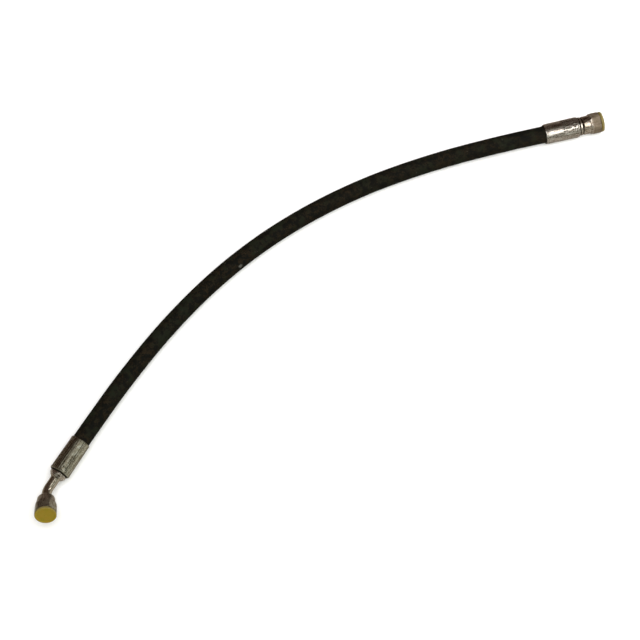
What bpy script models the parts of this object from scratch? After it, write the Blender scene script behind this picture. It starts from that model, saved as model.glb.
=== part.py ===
"""Hydraulic hose assembly: a short two-wire-braid rubber hose with a straight swivel fitting on one end
and a 45 degree swept elbow swivel fitting on the other, both closed by push-in plugs.

Metres, +Z up. The assembly lies on a flat surface at z = 0, and the origin is under the middle of its
two end fittings. Each fitting is modelled along its own +Z axis, from the mouth of its ferrule outwards,
and is placed by the empty that it is parented to.
"""

import math

import bmesh
import bpy
from mathutils import Euler, Matrix, Vector

MM = 0.001

# ---- Clearances ----
FIT_GAP = 0.3 * MM  # between metal pieces that touch on the real assembly
LAYER_GAP = 0.25 * MM  # between two neighbouring layers of the hose

# ---- Hose, by layer: the bore, then each layer's wall ----
HOSE_BORE_R = 3.2 * MM
INNER_TUBE_WALL = 1.15 * MM
BRAID_WALL = 0.45 * MM
INTERLAYER_WALL = 0.25 * MM
COVER_WALL = 1.0 * MM
HOSE_SIDES = 12
HOSE_POINT_SPACING = 30 * MM  # two hose diameters

# ---- Ferrule ----
FERRULE_LENGTH = 31.8 * MM
FERRULE_MOUTH_WALL = 0.85 * MM  # its wall round the cover
FERRULE_GROWTH = 0.3 * MM  # how much larger its radius is behind the crimped taper
FERRULE_PLAIN = 5.8 * MM  # from the taper's end to the ferrule's own end
FERRULE_END_CHAMFER = 0.9 * MM
FERRULE_MOUTH_CHAMFER = 0.45 * MM
FERRULE_FLANGE_WIDTH = 2.5 * MM  # the inward flange that locks in the stem's groove
COVER_ENTRY = 6.0 * MM  # how far the outer cover runs into the ferrule's mouth
TOOTH_PITCH = 5.0 * MM
TOOTH_LAND = 0.8 * MM  # the length of a tooth's tip, and of each of its two slopes
TOOTH_DEPTH = 0.4 * MM
FIRST_TOOTH = 1.7 * MM  # from the end of the mouth's bore

# ---- Hose tail, the part of a stem that is inside the hose ----
TAIL_WALL = 0.5 * MM  # at the foot of a barb
TAIL_TIP = 3.0 * MM  # from the ferrule's mouth
BARB_HEIGHT = 0.35 * MM
BARB_PITCH = 4.6 * MM
BARB_SLOPE = 1.4 * MM
BARB_LAND = 0.9 * MM
LOCK_SHOULDER_STEP = 0.65 * MM  # how far it stays below the outer braid's outside
LOCK_SHOULDER_WIDTH = 2.5 * MM
LOCK_GROOVE_DEPTH = 1.0 * MM

# ---- Collars between ferrule and nut ----
STRAIGHT_COLLAR_STEP = 0.85 * MM  # how much smaller its radius is than the ferrule's
STRAIGHT_COLLAR_WIDTH = 2.3 * MM
ELBOW_COLLAR_STEP = 1.85 * MM
ELBOW_COLLAR_WIDTH = 2.2 * MM
ELBOW_CONE_LENGTH = 2.2 * MM
COLLAR_CHAMFER = 0.4 * MM

# ---- Elbow tube ----
TUBE_R = 4.0 * MM
TUBE_WALL = 1.0 * MM
ELBOW_ANGLE = math.radians(45)
BEND_R = 12.0 * MM  # of the tube's centre line
TAIL_LEG = 18.5 * MM  # from the ferrule's end to where the two straight axes meet
NOSE_LEG = 8.0 * MM  # from where the axes meet to the nut's rear face
SOCKET_DEPTH = 3.0 * MM
TAIL_BRAZE_HEIGHT = 0.9 * MM
TAIL_BRAZE_LENGTH = 1.3 * MM
NOSE_BRAZE_LENGTH = 0.55 * MM
SPIGOT_LENGTH = 3.0 * MM  # how far the nipple runs into the tube
SPIGOT_WALL = 0.7 * MM

# ---- Swivel nut, M14 x 1.5 with a 17 mm hexagon for an 8 mm tube ----
NUT_LENGTH = 16.6 * MM
THREAD_STEP = 2.2 * MM  # from the tube's outside to the thread's minor radius
NUT_FLAT_WALL = 2.3 * MM  # from the thread's minor radius to the middle of a flat
NUT_CORNER_RISE = 0.8 * MM  # the hex corners are turned off at this height above a flat's middle
NUT_HEX_LENGTH = 9.0 * MM
NUT_CORNER_RUN = 2.7 * MM  # the length over which the corners reach their full height
NUT_SKIRT_STEP = 0.4 * MM  # how far the skirt stays below a flat's middle
NUT_REAR_ROUNDING = 1.8 * MM
NUT_FRONT_CHAMFER = 0.5 * MM
STRAIGHT_NUT_CORNER_DROP = 0.3 * MM  # how much lower the corners start than they end
ELBOW_NUT_CORNER_DROP = 0.5 * MM
STRAIGHT_NUT_TAPER = 0.0 * MM
ELBOW_NUT_TAPER = 0.7 * MM  # how much slimmer the skirt is at its rear
NUT_REAR_WALL = 3.6 * MM
NUT_MOUTH_CHAMFER = 0.7 * MM

# ---- Nose: a 24 degree sealing cone with an O-ring ----
NOSE_LAND = 0.8 * MM
CONE_STEP = 0.9 * MM  # from the shoulder's radius to the cone's
CONE_HALF_ANGLE = math.radians(12)
CONE_LENGTH = 4.4 * MM
CONE_LEAD_IN = 0.8 * MM  # from the cone's start to the O-ring groove
O_RING_CORD_R = 0.45 * MM
O_RING_PROUD = 0.4 * MM  # how far the O-ring stands out of the cone

# ---- Thrust wire that holds the straight nut ----
WIRE_R = 0.42 * MM
WIRE_SPLIT = math.radians(24)  # the gap between its two ends
WIRE_PLACE = 1.9 * MM  # from the nut's rear face

# ---- End plugs ----
PLUG_OVERHANG = 0.5 * MM  # how far the flange stands out over the middle of a flat
PLUG_FLANGE = 2.2 * MM
PLUG_EDGE = 0.5 * MM
PLUG_RIM_WIDTH = 1.2 * MM
PLUG_RECESS = 0.35 * MM
PLUG_HEAD = 1.3 * MM
PLUG_SHANK_CLEAR = 0.8 * MM  # from the O-ring's groove to the shank's end
PLUG_SHANK_WALL = 0.9 * MM
PLUG_SHANK_TAPER = 0.25 * MM

# ---- How the assembly lies: where each ferrule's mouth is, and the way the ferrule points ----
ELBOW_MOUTH = (-0.2092, -0.1183)
ELBOW_HEADING = math.radians(-121.1)  # the way its ferrule points, seen from above
ELBOW_ROLL = math.radians(41.3)  # the elbow's nose stands up from the floor by this turn
ELBOW_NUT_TURN = math.radians(8)
STRAIGHT_MOUTH = (0.1887, 0.1672)
STRAIGHT_HEADING = math.radians(14.1)
STRAIGHT_NUT_TURN = math.radians(17.5)

# The open stretch of the hose, from the elbow's ferrule to the straight one: where it is seen from
# above, and how high its underside is over the floor.
HOSE_ROUTE = (
    (-0.1951, -0.0955, 0.0013),
    (-0.1809, -0.0728, 0.0007),
    (-0.1659, -0.0506, 0.0002),
    (-0.1502, -0.0290, 0.0001),
    (-0.1336, -0.0082, 0.0001),
    (-0.1159, 0.0119, 0.0001),
    (-0.0972, 0.0310, 0.0001),
    (-0.0773, 0.0490, 0.0001),
    (-0.0565, 0.0657, 0.0001),
    (-0.0346, 0.0811, 0.0001),
    (-0.0119, 0.0952, 0.0001),
    (0.0116, 0.1080, 0.0001),
    (0.0358, 0.1196, 0.0001),
    (0.0605, 0.1298, 0.0001),
    (0.0856, 0.1389, 0.0003),
    (0.1111, 0.1470, 0.0008),
    (0.1369, 0.1542, 0.0013),
    (0.1628, 0.1609, 0.0017),
)

# ---- Fineness ----
SEGMENTS = 24
SMALL_SEGMENTS = 20
CORD_SIDES = 8
TUBE_SIDES = 16
BEND_STEPS = 6

# ---- Radii that follow from the values above ----
INNER_TUBE_R = HOSE_BORE_R + INNER_TUBE_WALL
INNER_BRAID_BORE_R = INNER_TUBE_R + LAYER_GAP
INNER_BRAID_R = INNER_BRAID_BORE_R + BRAID_WALL
INTERLAYER_BORE_R = INNER_BRAID_R + LAYER_GAP
INTERLAYER_R = INTERLAYER_BORE_R + INTERLAYER_WALL
OUTER_BRAID_BORE_R = INTERLAYER_R + LAYER_GAP
OUTER_BRAID_R = OUTER_BRAID_BORE_R + BRAID_WALL
COVER_BORE_R = OUTER_BRAID_R + LAYER_GAP
COVER_R = COVER_BORE_R + COVER_WALL
MOUTH_BORE_R = COVER_R + FIT_GAP
FERRULE_MOUTH_R = MOUTH_BORE_R + FERRULE_MOUTH_WALL
FERRULE_R = FERRULE_MOUTH_R + FERRULE_GROWTH
TOOTH_R = OUTER_BRAID_R + LAYER_GAP
BARB_R = HOSE_BORE_R - BARB_HEIGHT
TAIL_R = BARB_R - BARB_HEIGHT
TAIL_BORE_R = TAIL_R - TAIL_WALL
LOCK_SHOULDER_R = OUTER_BRAID_R - LOCK_SHOULDER_STEP
LOCK_GROOVE_R = LOCK_SHOULDER_R - LOCK_GROOVE_DEPTH
STRAIGHT_COLLAR_R = FERRULE_R - STRAIGHT_COLLAR_STEP
ELBOW_COLLAR_R = FERRULE_R - ELBOW_COLLAR_STEP
SOCKET_R = TUBE_R + FIT_GAP
TUBE_BORE_R = TUBE_R - TUBE_WALL
SPIGOT_R = TUBE_BORE_R - FIT_GAP
NOSE_BORE_R = SPIGOT_R - SPIGOT_WALL
NUT_BORE_R = TUBE_R + FIT_GAP
NUT_THREAD_R = TUBE_R + THREAD_STEP
NUT_FLAT_R = NUT_THREAD_R + NUT_FLAT_WALL
NUT_CORNER_R = NUT_FLAT_R + NUT_CORNER_RISE
NUT_SKIRT_R = NUT_FLAT_R - NUT_SKIRT_STEP
NOSE_SHOULDER_R = NUT_THREAD_R - FIT_GAP
CONE_START_R = NOSE_SHOULDER_R - CONE_STEP
WIRE_RING_R = (TUBE_R + NUT_BORE_R) / 2
WIRE_HALF_SLOT = WIRE_R + FIT_GAP
PLUG_FLANGE_R = NUT_FLAT_R + PLUG_OVERHANG
PLUG_SHANK_R = NUT_THREAD_R - FIT_GAP

# ---- Stations along a fitting's axis, from the ferrule's mouth ----
MOUTH_DEPTH = COVER_ENTRY + FIT_GAP
COLLAR_START = FERRULE_LENGTH + FIT_GAP
FLANGE_START = FERRULE_LENGTH - FERRULE_FLANGE_WIDTH
LOCK_SHOULDER_END = FLANGE_START - FIT_GAP
LOCK_SHOULDER_START = LOCK_SHOULDER_END - LOCK_SHOULDER_WIDTH
HOSE_STOP = LOCK_SHOULDER_START - FIT_GAP
STRAIGHT_NUT_START = COLLAR_START + STRAIGHT_COLLAR_WIDTH + FIT_GAP
AXES_MEET = FERRULE_LENGTH + TAIL_LEG
SOCKET_FLOOR = COLLAR_START + ELBOW_COLLAR_WIDTH + ELBOW_CONE_LENGTH - SOCKET_DEPTH
SOCKET_MOUTH = SOCKET_FLOOR + SOCKET_DEPTH

# ---- Stations along the nut's axis, from its rear face ----
SEAT_OFFSET = FIT_GAP * math.sqrt(2)  # along the axis, for a gap square to the 45 degree seat
SEAT_START = NUT_REAR_WALL - FIT_GAP + SEAT_OFFSET
SHOULDER_FRONT = NUT_REAR_WALL + NOSE_SHOULDER_R - NUT_BORE_R + SEAT_OFFSET + NOSE_LAND
TUBE_END = NUT_REAR_WALL - FIT_GAP / 2
NIPPLE_FACE = TUBE_END + FIT_GAP + NOSE_BRAZE_LENGTH + FIT_GAP
CONE_START = SHOULDER_FRONT + FIT_GAP
CONE_END = CONE_START + CONE_LENGTH
O_RING_PLACE = CONE_START + CONE_LEAD_IN + O_RING_CORD_R + FIT_GAP
O_RING_HALF_SLOT = O_RING_CORD_R + FIT_GAP
NOSE_TIP = CONE_END + FIT_GAP
PLUG_SHANK_END = O_RING_PLACE + O_RING_HALF_SLOT + PLUG_SHANK_CLEAR
PLUG_START = NUT_LENGTH + FIT_GAP


def cone_radius(station):
    """The sealing cone's radius at a station on the nut's axis."""
    return CONE_START_R - (station - CONE_START) * math.tan(CONE_HALF_ANGLE)


O_RING_MID_R = cone_radius(O_RING_PLACE) + O_RING_PROUD - O_RING_CORD_R
O_RING_SLOT_R = O_RING_MID_R - O_RING_CORD_R - FIT_GAP


def clear_scene():
    """Removes every object that the scene starts with."""
    for obj in list(bpy.data.objects):
        bpy.data.objects.remove(obj, do_unlink=True)


def material(name, colour, roughness, metallic):
    """A Principled material."""
    made = bpy.data.materials.new(name)
    made.use_nodes = True
    shader = made.node_tree.nodes["Principled BSDF"]
    shader.inputs["Base Color"].default_value = (*colour, 1.0)
    shader.inputs["Roughness"].default_value = roughness
    shader.inputs["Metallic"].default_value = metallic
    return made


def empty(name, parent=None, matrix=None):
    """A placing frame."""
    obj = bpy.data.objects.new(name, None)
    obj.empty_display_size = 10 * MM
    bpy.context.scene.collection.objects.link(obj)
    obj.parent = parent
    obj.matrix_basis = matrix or Matrix.Identity(4)
    return obj


def add_object(name, bm, parent, finish):
    """Makes an object from a bmesh, with its faces pointing out and its round sides smooth."""
    bmesh.ops.recalc_face_normals(bm, faces=bm.faces)
    mesh = bpy.data.meshes.new(name)
    bm.to_mesh(mesh)
    bm.free()
    mesh.shade_smooth()
    mesh.set_sharp_from_angle(angle=math.radians(32))
    if finish:
        mesh.materials.append(finish)
    obj = bpy.data.objects.new(name, mesh)
    bpy.context.scene.collection.objects.link(obj)
    obj.parent = parent
    return obj


def turned(name, outline, parent, finish, segments=SEGMENTS, shift=0.0):
    """A solid turned about +Z from a closed outline of (radius, station) points."""
    bm = bmesh.new()
    corners = [bm.verts.new((radius, 0, station + shift)) for radius, station in outline]
    edges = [bm.edges.new((a, b)) for a, b in zip(corners, corners[1:] + corners[:1], strict=True)]
    bmesh.ops.spin(
        bm,
        geom=corners + edges,
        cent=(0, 0, 0),
        axis=(0, 0, 1),
        angle=2 * math.pi,
        steps=segments,
        use_merge=True,
    )
    bmesh.ops.remove_doubles(bm, verts=bm.verts, dist=0.0005 * MM)
    return add_object(name, bm, parent, finish)


def swept_tube(name, path, bore_r, outer_r, sides, parent, finish, up=Vector((0, 0, 1))):
    """A tube with a bore, swept along a path that lies nearly square to the up direction."""
    bm = bmesh.new()
    rings = []
    for i, point in enumerate(path):
        along = (path[min(i + 1, len(path) - 1)] - path[max(i - 1, 0)]).normalized()
        side = along.cross(up).normalized()
        top = side.cross(along)
        pair = []
        for radius in (outer_r, bore_r):
            turns = [2 * math.pi * k / sides for k in range(sides)]
            pair.append(
                [
                    bm.verts.new(point + radius * (math.sin(t) * side - math.cos(t) * top))
                    for t in turns
                ]
            )
        rings.append(pair)
    for near, far in zip(rings, rings[1:], strict=False):
        for wall in (0, 1):
            for k in range(sides):
                n = (k + 1) % sides
                bm.faces.new((near[wall][k], near[wall][n], far[wall][n], far[wall][k]))
    for outer, bore in (rings[0], rings[-1]):
        for k in range(sides):
            n = (k + 1) % sides
            bm.faces.new((outer[k], outer[n], bore[n], bore[k]))
    return add_object(name, bm, parent, finish)


def smooth_curve(points, per_span):
    """Points on a Catmull-Rom curve through all but the first and last point."""
    found = []
    for a, b, c, d in zip(points, points[1:], points[2:], points[3:], strict=False):
        for k in range(per_span):
            t = k / per_span
            found.append(
                0.5
                * (2 * b + (c - a) * t + (2 * a - 5 * b + 4 * c - d) * t**2 + (3 * b - a - 3 * c + d) * t**3)
            )
    return found + [points[-2]]


def even_points(path, spacing):
    """The same path with its points moved to about the given spacing."""
    lengths = [0.0]
    for a, b in zip(path, path[1:], strict=False):
        lengths.append(lengths[-1] + (b - a).length)
    count = max(2, round(lengths[-1] / spacing))
    found = []
    i = 0
    for k in range(count + 1):
        wanted = lengths[-1] * k / count
        while i < len(path) - 2 and lengths[i + 1] < wanted:
            i += 1
        share = (wanted - lengths[i]) / (lengths[i + 1] - lengths[i])
        found.append(path[i].lerp(path[i + 1], share))
    return found


def hose_path(elbow_end, straight_end, depth):
    """The hose's centre line, running into both ferrules to the given depth."""

    def inside(frame, station):
        return frame.matrix_basis @ Vector((0, 0, station))

    route = [Vector((x, y, COVER_R + rise)) for x, y, rise in HOSE_ROUTE]
    mouths = inside(elbow_end, 0), inside(straight_end, 0)
    guides = inside(elbow_end, HOSE_POINT_SPACING), inside(straight_end, HOSE_POINT_SPACING)
    open_stretch = smooth_curve([guides[0], mouths[0], *route, mouths[1], guides[1]], 8)
    open_points = even_points(open_stretch, HOSE_POINT_SPACING)
    return [inside(elbow_end, depth), *open_points, inside(straight_end, depth)]


def make_hose(elbow_end, straight_end):
    """The five layers. The cover stops in the ferrules' mouths and the rest run on to the stems."""
    rubber = material("inner_tube_rubber", (0.012, 0.012, 0.013), 0.6, 0.0)
    wire = material("braid_wire", (0.42, 0.38, 0.31), 0.42, 1.0)
    gum = material("interlayer_rubber", (0.03, 0.028, 0.026), 0.7, 0.0)
    cover = material("cover_rubber", (0.011, 0.010, 0.009), 0.62, 0.0)
    to_stem = hose_path(elbow_end, straight_end, HOSE_STOP)
    to_mouth = hose_path(elbow_end, straight_end, COVER_ENTRY)
    layers = (
        ("hose_inner_tube", to_stem, HOSE_BORE_R, INNER_TUBE_R, rubber),
        ("inner_wire_braid", to_stem, INNER_BRAID_BORE_R, INNER_BRAID_R, wire),
        ("braid_interlayer", to_stem, INTERLAYER_BORE_R, INTERLAYER_R, gum),
        ("outer_wire_braid", to_stem, OUTER_BRAID_BORE_R, OUTER_BRAID_R, wire.copy()),
        ("hose_outer_cover", to_mouth, COVER_BORE_R, COVER_R, cover),
    )
    for name, path, bore_r, outer_r, finish in layers:
        swept_tube(name, path, bore_r, outer_r, HOSE_SIDES, None, finish)


def make_ferrule(name, end):
    """A crimped sleeve: a plain mouth over the cover, then teeth that bite on the outer braid."""
    finish = material(name + "_zinc", (0.42, 0.40, 0.36), 0.3, 1.0)
    root_r = TOOTH_R + TOOTH_DEPTH
    flange_r = LOCK_GROOVE_R + FIT_GAP
    outline = [
        (MOUTH_BORE_R, 0.0),
        (FERRULE_MOUTH_R - FERRULE_MOUTH_CHAMFER, 0.0),
        (FERRULE_MOUTH_R, FERRULE_MOUTH_CHAMFER),
        (FERRULE_R, FERRULE_LENGTH - FERRULE_PLAIN),
        (FERRULE_R, FERRULE_LENGTH - FERRULE_END_CHAMFER),
        (FERRULE_R - FERRULE_END_CHAMFER, FERRULE_LENGTH),
        (flange_r, FERRULE_LENGTH),
        (flange_r, FLANGE_START),
        (root_r, FLANGE_START),
    ]
    room = FLANGE_START - MOUTH_DEPTH - FIRST_TOOTH
    for k in reversed(range(int(room / TOOTH_PITCH))):
        start = MOUTH_DEPTH + FIRST_TOOTH + k * TOOTH_PITCH
        outline += [
            (root_r, start + 3 * TOOTH_LAND),
            (TOOTH_R, start + 2 * TOOTH_LAND),
            (TOOTH_R, start + TOOTH_LAND),
            (root_r, start),
        ]
    outline += [(root_r, MOUTH_DEPTH), (MOUTH_BORE_R, MOUTH_DEPTH)]
    return turned(name, outline, end, finish)


def tail_outline():
    """The hose tail's outside: barbs, the lock shoulder and the groove that the ferrule locks in."""
    outline = [(TAIL_BORE_R, TAIL_TIP), (TAIL_R, TAIL_TIP)]
    room = LOCK_SHOULDER_START - TAIL_TIP
    for k in range(int(room / BARB_PITCH)):
        start = TAIL_TIP + BARB_LAND + k * BARB_PITCH
        outline += [
            (TAIL_R, start),
            (BARB_R, start + BARB_SLOPE),
            (BARB_R, start + BARB_SLOPE + BARB_LAND),
            (TAIL_R, start + BARB_SLOPE + BARB_LAND + BARB_HEIGHT),
        ]
    return outline + [
        (TAIL_R, LOCK_SHOULDER_START),
        (LOCK_SHOULDER_R, LOCK_SHOULDER_START),
        (LOCK_SHOULDER_R, LOCK_SHOULDER_END),
        (LOCK_GROOVE_R, LOCK_SHOULDER_END),
        (LOCK_GROOVE_R, COLLAR_START),
    ]


def nose_outline():
    """The sealing nose, from its 45 degree seat to its tip, in stations from the nut's rear face."""
    tip_r = cone_radius(CONE_END)
    slot_start = O_RING_PLACE - O_RING_HALF_SLOT
    slot_end = O_RING_PLACE + O_RING_HALF_SLOT
    return [
        (NOSE_SHOULDER_R, SHOULDER_FRONT - NOSE_LAND),
        (NOSE_SHOULDER_R, SHOULDER_FRONT),
        (CONE_START_R, CONE_START),
        (cone_radius(slot_start), slot_start),
        (O_RING_SLOT_R, slot_start),
        (O_RING_SLOT_R, slot_end),
        (cone_radius(slot_end), slot_end),
        (tip_r, CONE_END),
        (tip_r - FIT_GAP, NOSE_TIP),
    ]


def shifted(outline, shift):
    """The outline moved along the axis."""
    return [(radius, station + shift) for radius, station in outline]


def make_straight_stem(end):
    """One turned piece: hose tail, round collar, neck with the wire's groove, and nose."""
    finish = material("straight_stem_zinc", (0.45, 0.42, 0.38), 0.3, 1.0)
    collar_end = COLLAR_START + STRAIGHT_COLLAR_WIDTH
    collar = [
        (STRAIGHT_COLLAR_R - COLLAR_CHAMFER, COLLAR_START),
        (STRAIGHT_COLLAR_R, COLLAR_START + COLLAR_CHAMFER),
        (STRAIGHT_COLLAR_R, collar_end - COLLAR_CHAMFER),
        (STRAIGHT_COLLAR_R - COLLAR_CHAMFER, collar_end),
        (TUBE_R, collar_end),
    ]
    slot_r = WIRE_RING_R - WIRE_HALF_SLOT
    neck = [
        (TUBE_R, WIRE_PLACE - WIRE_HALF_SLOT),
        (slot_r, WIRE_PLACE - WIRE_HALF_SLOT),
        (slot_r, WIRE_PLACE + WIRE_HALF_SLOT),
        (TUBE_R, WIRE_PLACE + WIRE_HALF_SLOT),
        (TUBE_R, SEAT_START),
    ]
    bore = [
        (NOSE_BORE_R, STRAIGHT_NUT_START + NOSE_TIP),
        (NOSE_BORE_R, collar_end),
        (TAIL_BORE_R, COLLAR_START),
    ]
    nose = shifted(neck + nose_outline(), STRAIGHT_NUT_START)
    outline = tail_outline() + collar + nose + bore
    return turned("straight_stem", outline, end, finish)


def make_elbow_stem(end):
    """Hose tail with a collar that the bent tube is brazed into."""
    finish = material("elbow_stem_zinc", (0.42, 0.39, 0.35), 0.32, 1.0)
    outline = tail_outline() + [
        (ELBOW_COLLAR_R - COLLAR_CHAMFER, COLLAR_START),
        (ELBOW_COLLAR_R, COLLAR_START + COLLAR_CHAMFER),
        (ELBOW_COLLAR_R, COLLAR_START + ELBOW_COLLAR_WIDTH),
        (SOCKET_R + TUBE_WALL, SOCKET_MOUTH),
        (SOCKET_R, SOCKET_MOUTH),
        (SOCKET_R, SOCKET_FLOOR),
        (TAIL_BORE_R, SOCKET_FLOOR),
    ]
    return turned("elbow_stem", outline, end, finish)


def make_elbow_tube(end):
    """The bent steel tube, from the stem's socket to the nose nipple."""
    finish = material("elbow_tube_zinc", (0.40, 0.36, 0.32), 0.28, 1.0)
    tangent = BEND_R * math.tan(ELBOW_ANGLE / 2)
    bend_start = AXES_MEET - tangent
    path = [Vector((0, 0, SOCKET_FLOOR + FIT_GAP)), Vector((0, 0, (SOCKET_MOUTH + bend_start) / 2))]
    for k in range(BEND_STEPS + 1):
        turn = ELBOW_ANGLE * k / BEND_STEPS
        path.append(
            Vector((BEND_R * (1 - math.cos(turn)), 0, bend_start + BEND_R * math.sin(turn)))
        )
    nose_way = Vector((math.sin(ELBOW_ANGLE), 0, math.cos(ELBOW_ANGLE)))
    path.append(Vector((0, 0, AXES_MEET)) + nose_way * (NOSE_LEG + TUBE_END))
    square = Vector((0, 1, 0))
    return swept_tube("elbow_tube", path, TUBE_BORE_R, TUBE_R, TUBE_SIDES, end, finish, up=square)


def make_tail_braze(end):
    """The fillet of braze where the tube enters the stem's collar."""
    finish = material("tail_braze", (0.45, 0.36, 0.22), 0.35, 1.0)
    start = SOCKET_MOUTH + FIT_GAP
    height = TAIL_BRAZE_HEIGHT
    outline = [
        (SOCKET_R, start),
        (SOCKET_R + height, start),
        (SOCKET_R + height / 2, start + TAIL_BRAZE_LENGTH / 3),
        (SOCKET_R + height / 4, start + TAIL_BRAZE_LENGTH),
        (SOCKET_R, start + TAIL_BRAZE_LENGTH),
    ]
    return turned("elbow_tail_braze_ring", outline, end, finish, SMALL_SEGMENTS)


def make_nose_nipple(nose):
    """The nose that is brazed on the bent tube, with a spigot inside the tube."""
    finish = material("nipple_zinc", (0.45, 0.42, 0.38), 0.3, 1.0)
    face_r = TUBE_R + NIPPLE_FACE - SEAT_START
    outline = [
        (NOSE_BORE_R, TUBE_END - SPIGOT_LENGTH),
        (SPIGOT_R, TUBE_END - SPIGOT_LENGTH),
        (SPIGOT_R, NIPPLE_FACE),
        (face_r, NIPPLE_FACE),
        *nose_outline(),
        (NOSE_BORE_R, NOSE_TIP),
    ]
    return turned("elbow_nose_nipple", outline, nose, finish, shift=NOSE_LEG)


def make_nose_braze(nose):
    """The braze ring between the tube's end and the nipple."""
    finish = material("nose_braze", (0.45, 0.36, 0.22), 0.35, 1.0)
    start = TUBE_END + FIT_GAP
    end = start + NOSE_BRAZE_LENGTH
    outline = [(TUBE_BORE_R, start), (TUBE_R, start), (TUBE_R, end), (TUBE_BORE_R, end)]
    return turned("elbow_nose_braze_ring", outline, nose, finish, SMALL_SEGMENTS, shift=NOSE_LEG)


def hex_cutter(name, parent, shift, turn):
    """A six-sided bar that the nut's turned blank is cut with. It isn't a piece of the assembly."""
    bm = bmesh.new()
    corner_r = NUT_FLAT_R / math.cos(math.radians(30))
    bmesh.ops.create_cone(
        bm,
        cap_ends=True,
        segments=6,
        radius1=corner_r,
        radius2=corner_r,
        depth=3 * NUT_LENGTH,
        matrix=Matrix.Translation((0, 0, shift + NUT_LENGTH / 2)) @ Matrix.Rotation(turn, 4, "Z"),
    )
    cutter = add_object(name, bm, parent, None)
    cutter.hide_render = True
    cutter.display_type = "WIRE"
    return cutter


def make_nut(name, frame, shift, turn, taper, corner_drop, wire_groove):
    """A swivel nut: round skirt, hex front, a rear wall that bears on the nose's seat, threaded bore."""
    finish = material(name + "_zinc", (0.44, 0.40, 0.34), 0.32, 1.0)
    round_r = NUT_REAR_ROUNDING
    hex_start = NUT_LENGTH - NUT_HEX_LENGTH
    rear_r = NUT_SKIRT_R - taper
    corner_r = NUT_CORNER_R - corner_drop
    cone = corner_r - NUT_SKIRT_R
    outline = [
        (NUT_BORE_R, 0.0),
        (rear_r - round_r + taper, 0.0),
        (rear_r - round_r * 0.35 + taper * 0.4, round_r * 0.4),
        (rear_r, round_r * 0.9),
        (NUT_SKIRT_R, hex_start - cone),
        (corner_r, hex_start),
        (NUT_CORNER_R, hex_start + NUT_CORNER_RUN),
        (NUT_CORNER_R, NUT_LENGTH - NUT_FRONT_CHAMFER),
        (NUT_FLAT_R, NUT_LENGTH),
        (NUT_THREAD_R + NUT_MOUTH_CHAMFER, NUT_LENGTH),
        (NUT_THREAD_R, NUT_LENGTH - NUT_MOUTH_CHAMFER),
        (NUT_THREAD_R, NUT_REAR_WALL + NUT_THREAD_R - NUT_BORE_R),
        (NUT_BORE_R, NUT_REAR_WALL),
    ]
    if wire_groove:
        slot_r = WIRE_RING_R + WIRE_HALF_SLOT
        outline += [
            (NUT_BORE_R, WIRE_PLACE + WIRE_HALF_SLOT),
            (slot_r, WIRE_PLACE + WIRE_HALF_SLOT),
            (slot_r, WIRE_PLACE - WIRE_HALF_SLOT),
            (NUT_BORE_R, WIRE_PLACE - WIRE_HALF_SLOT),
        ]
    nut = turned(name, outline, frame, finish, shift=shift)
    cut = nut.modifiers.new("hex", "BOOLEAN")
    cut.operation = "INTERSECT"
    cut.solver = "EXACT"
    cut.object = hex_cutter(name + "_hex_bar", frame, shift, turn)
    return nut


def make_o_ring(name, frame, shift):
    """The soft seal in the cone's groove."""
    finish = material(name + "_rubber", (0.01, 0.01, 0.01), 0.45, 0.0)
    outline = []
    for k in range(CORD_SIDES):
        turn = 2 * math.pi * k / CORD_SIDES
        outline.append(
            (
                O_RING_MID_R + O_RING_CORD_R * math.cos(turn),
                O_RING_PLACE + O_RING_CORD_R * math.sin(turn),
            )
        )
    return turned(name, outline, frame, finish, SMALL_SEGMENTS, shift=shift)


def make_thrust_wire(end):
    """The split wire ring, half in the stem's groove and half in the nut's."""
    finish = material("thrust_wire_steel", (0.5, 0.5, 0.5), 0.3, 1.0)
    station = STRAIGHT_NUT_START + WIRE_PLACE
    bm = bmesh.new()
    rings = []
    for i in range(SMALL_SEGMENTS + 1):
        turn = WIRE_SPLIT / 2 + (2 * math.pi - WIRE_SPLIT) * i / SMALL_SEGMENTS
        way = Vector((math.cos(turn), math.sin(turn), 0))
        centre = way * WIRE_RING_R + Vector((0, 0, station))
        ring = []
        for k in range(CORD_SIDES):
            round_turn = 2 * math.pi * k / CORD_SIDES
            offset = way * math.cos(round_turn) + Vector((0, 0, math.sin(round_turn)))
            ring.append(bm.verts.new(centre + WIRE_R * offset))
        rings.append(ring)
    for near, far in zip(rings, rings[1:], strict=False):
        for k in range(CORD_SIDES):
            n = (k + 1) % CORD_SIDES
            bm.faces.new((near[k], near[n], far[n], far[k]))
    bm.faces.new(rings[0])
    bm.faces.new(rings[-1])
    return add_object("straight_thrust_wire", bm, end, finish)


def make_plug(name, frame, shift):
    """A moulded plug: a flange that covers the nut's end, and a hollow shank inside the thread."""
    finish = material(name + "_plastic", (0.30, 0.24, 0.02), 0.5, 0.0)
    hollow_r = PLUG_SHANK_R - PLUG_SHANK_WALL
    face = PLUG_START + PLUG_FLANGE
    floor = face - PLUG_RECESS
    edge = PLUG_EDGE
    rim_r = PLUG_FLANGE_R - PLUG_RIM_WIDTH
    outline = [
        (0.0, floor),
        (rim_r - PLUG_RECESS, floor),
        (rim_r, face),
        (PLUG_FLANGE_R - edge, face),
        (PLUG_FLANGE_R - edge * 0.3, face - edge * 0.3),
        (PLUG_FLANGE_R, face - edge),
        (PLUG_FLANGE_R, PLUG_START + edge * 0.6),
        (PLUG_FLANGE_R - edge * 0.6, PLUG_START),
        (PLUG_SHANK_R, PLUG_START),
        (PLUG_SHANK_R - PLUG_SHANK_TAPER, PLUG_SHANK_END),
        (hollow_r - PLUG_SHANK_TAPER, PLUG_SHANK_END),
        (hollow_r, floor - PLUG_HEAD),
        (0.0, floor - PLUG_HEAD),
    ]
    return turned(name, outline, frame, finish, shift=shift)


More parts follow.
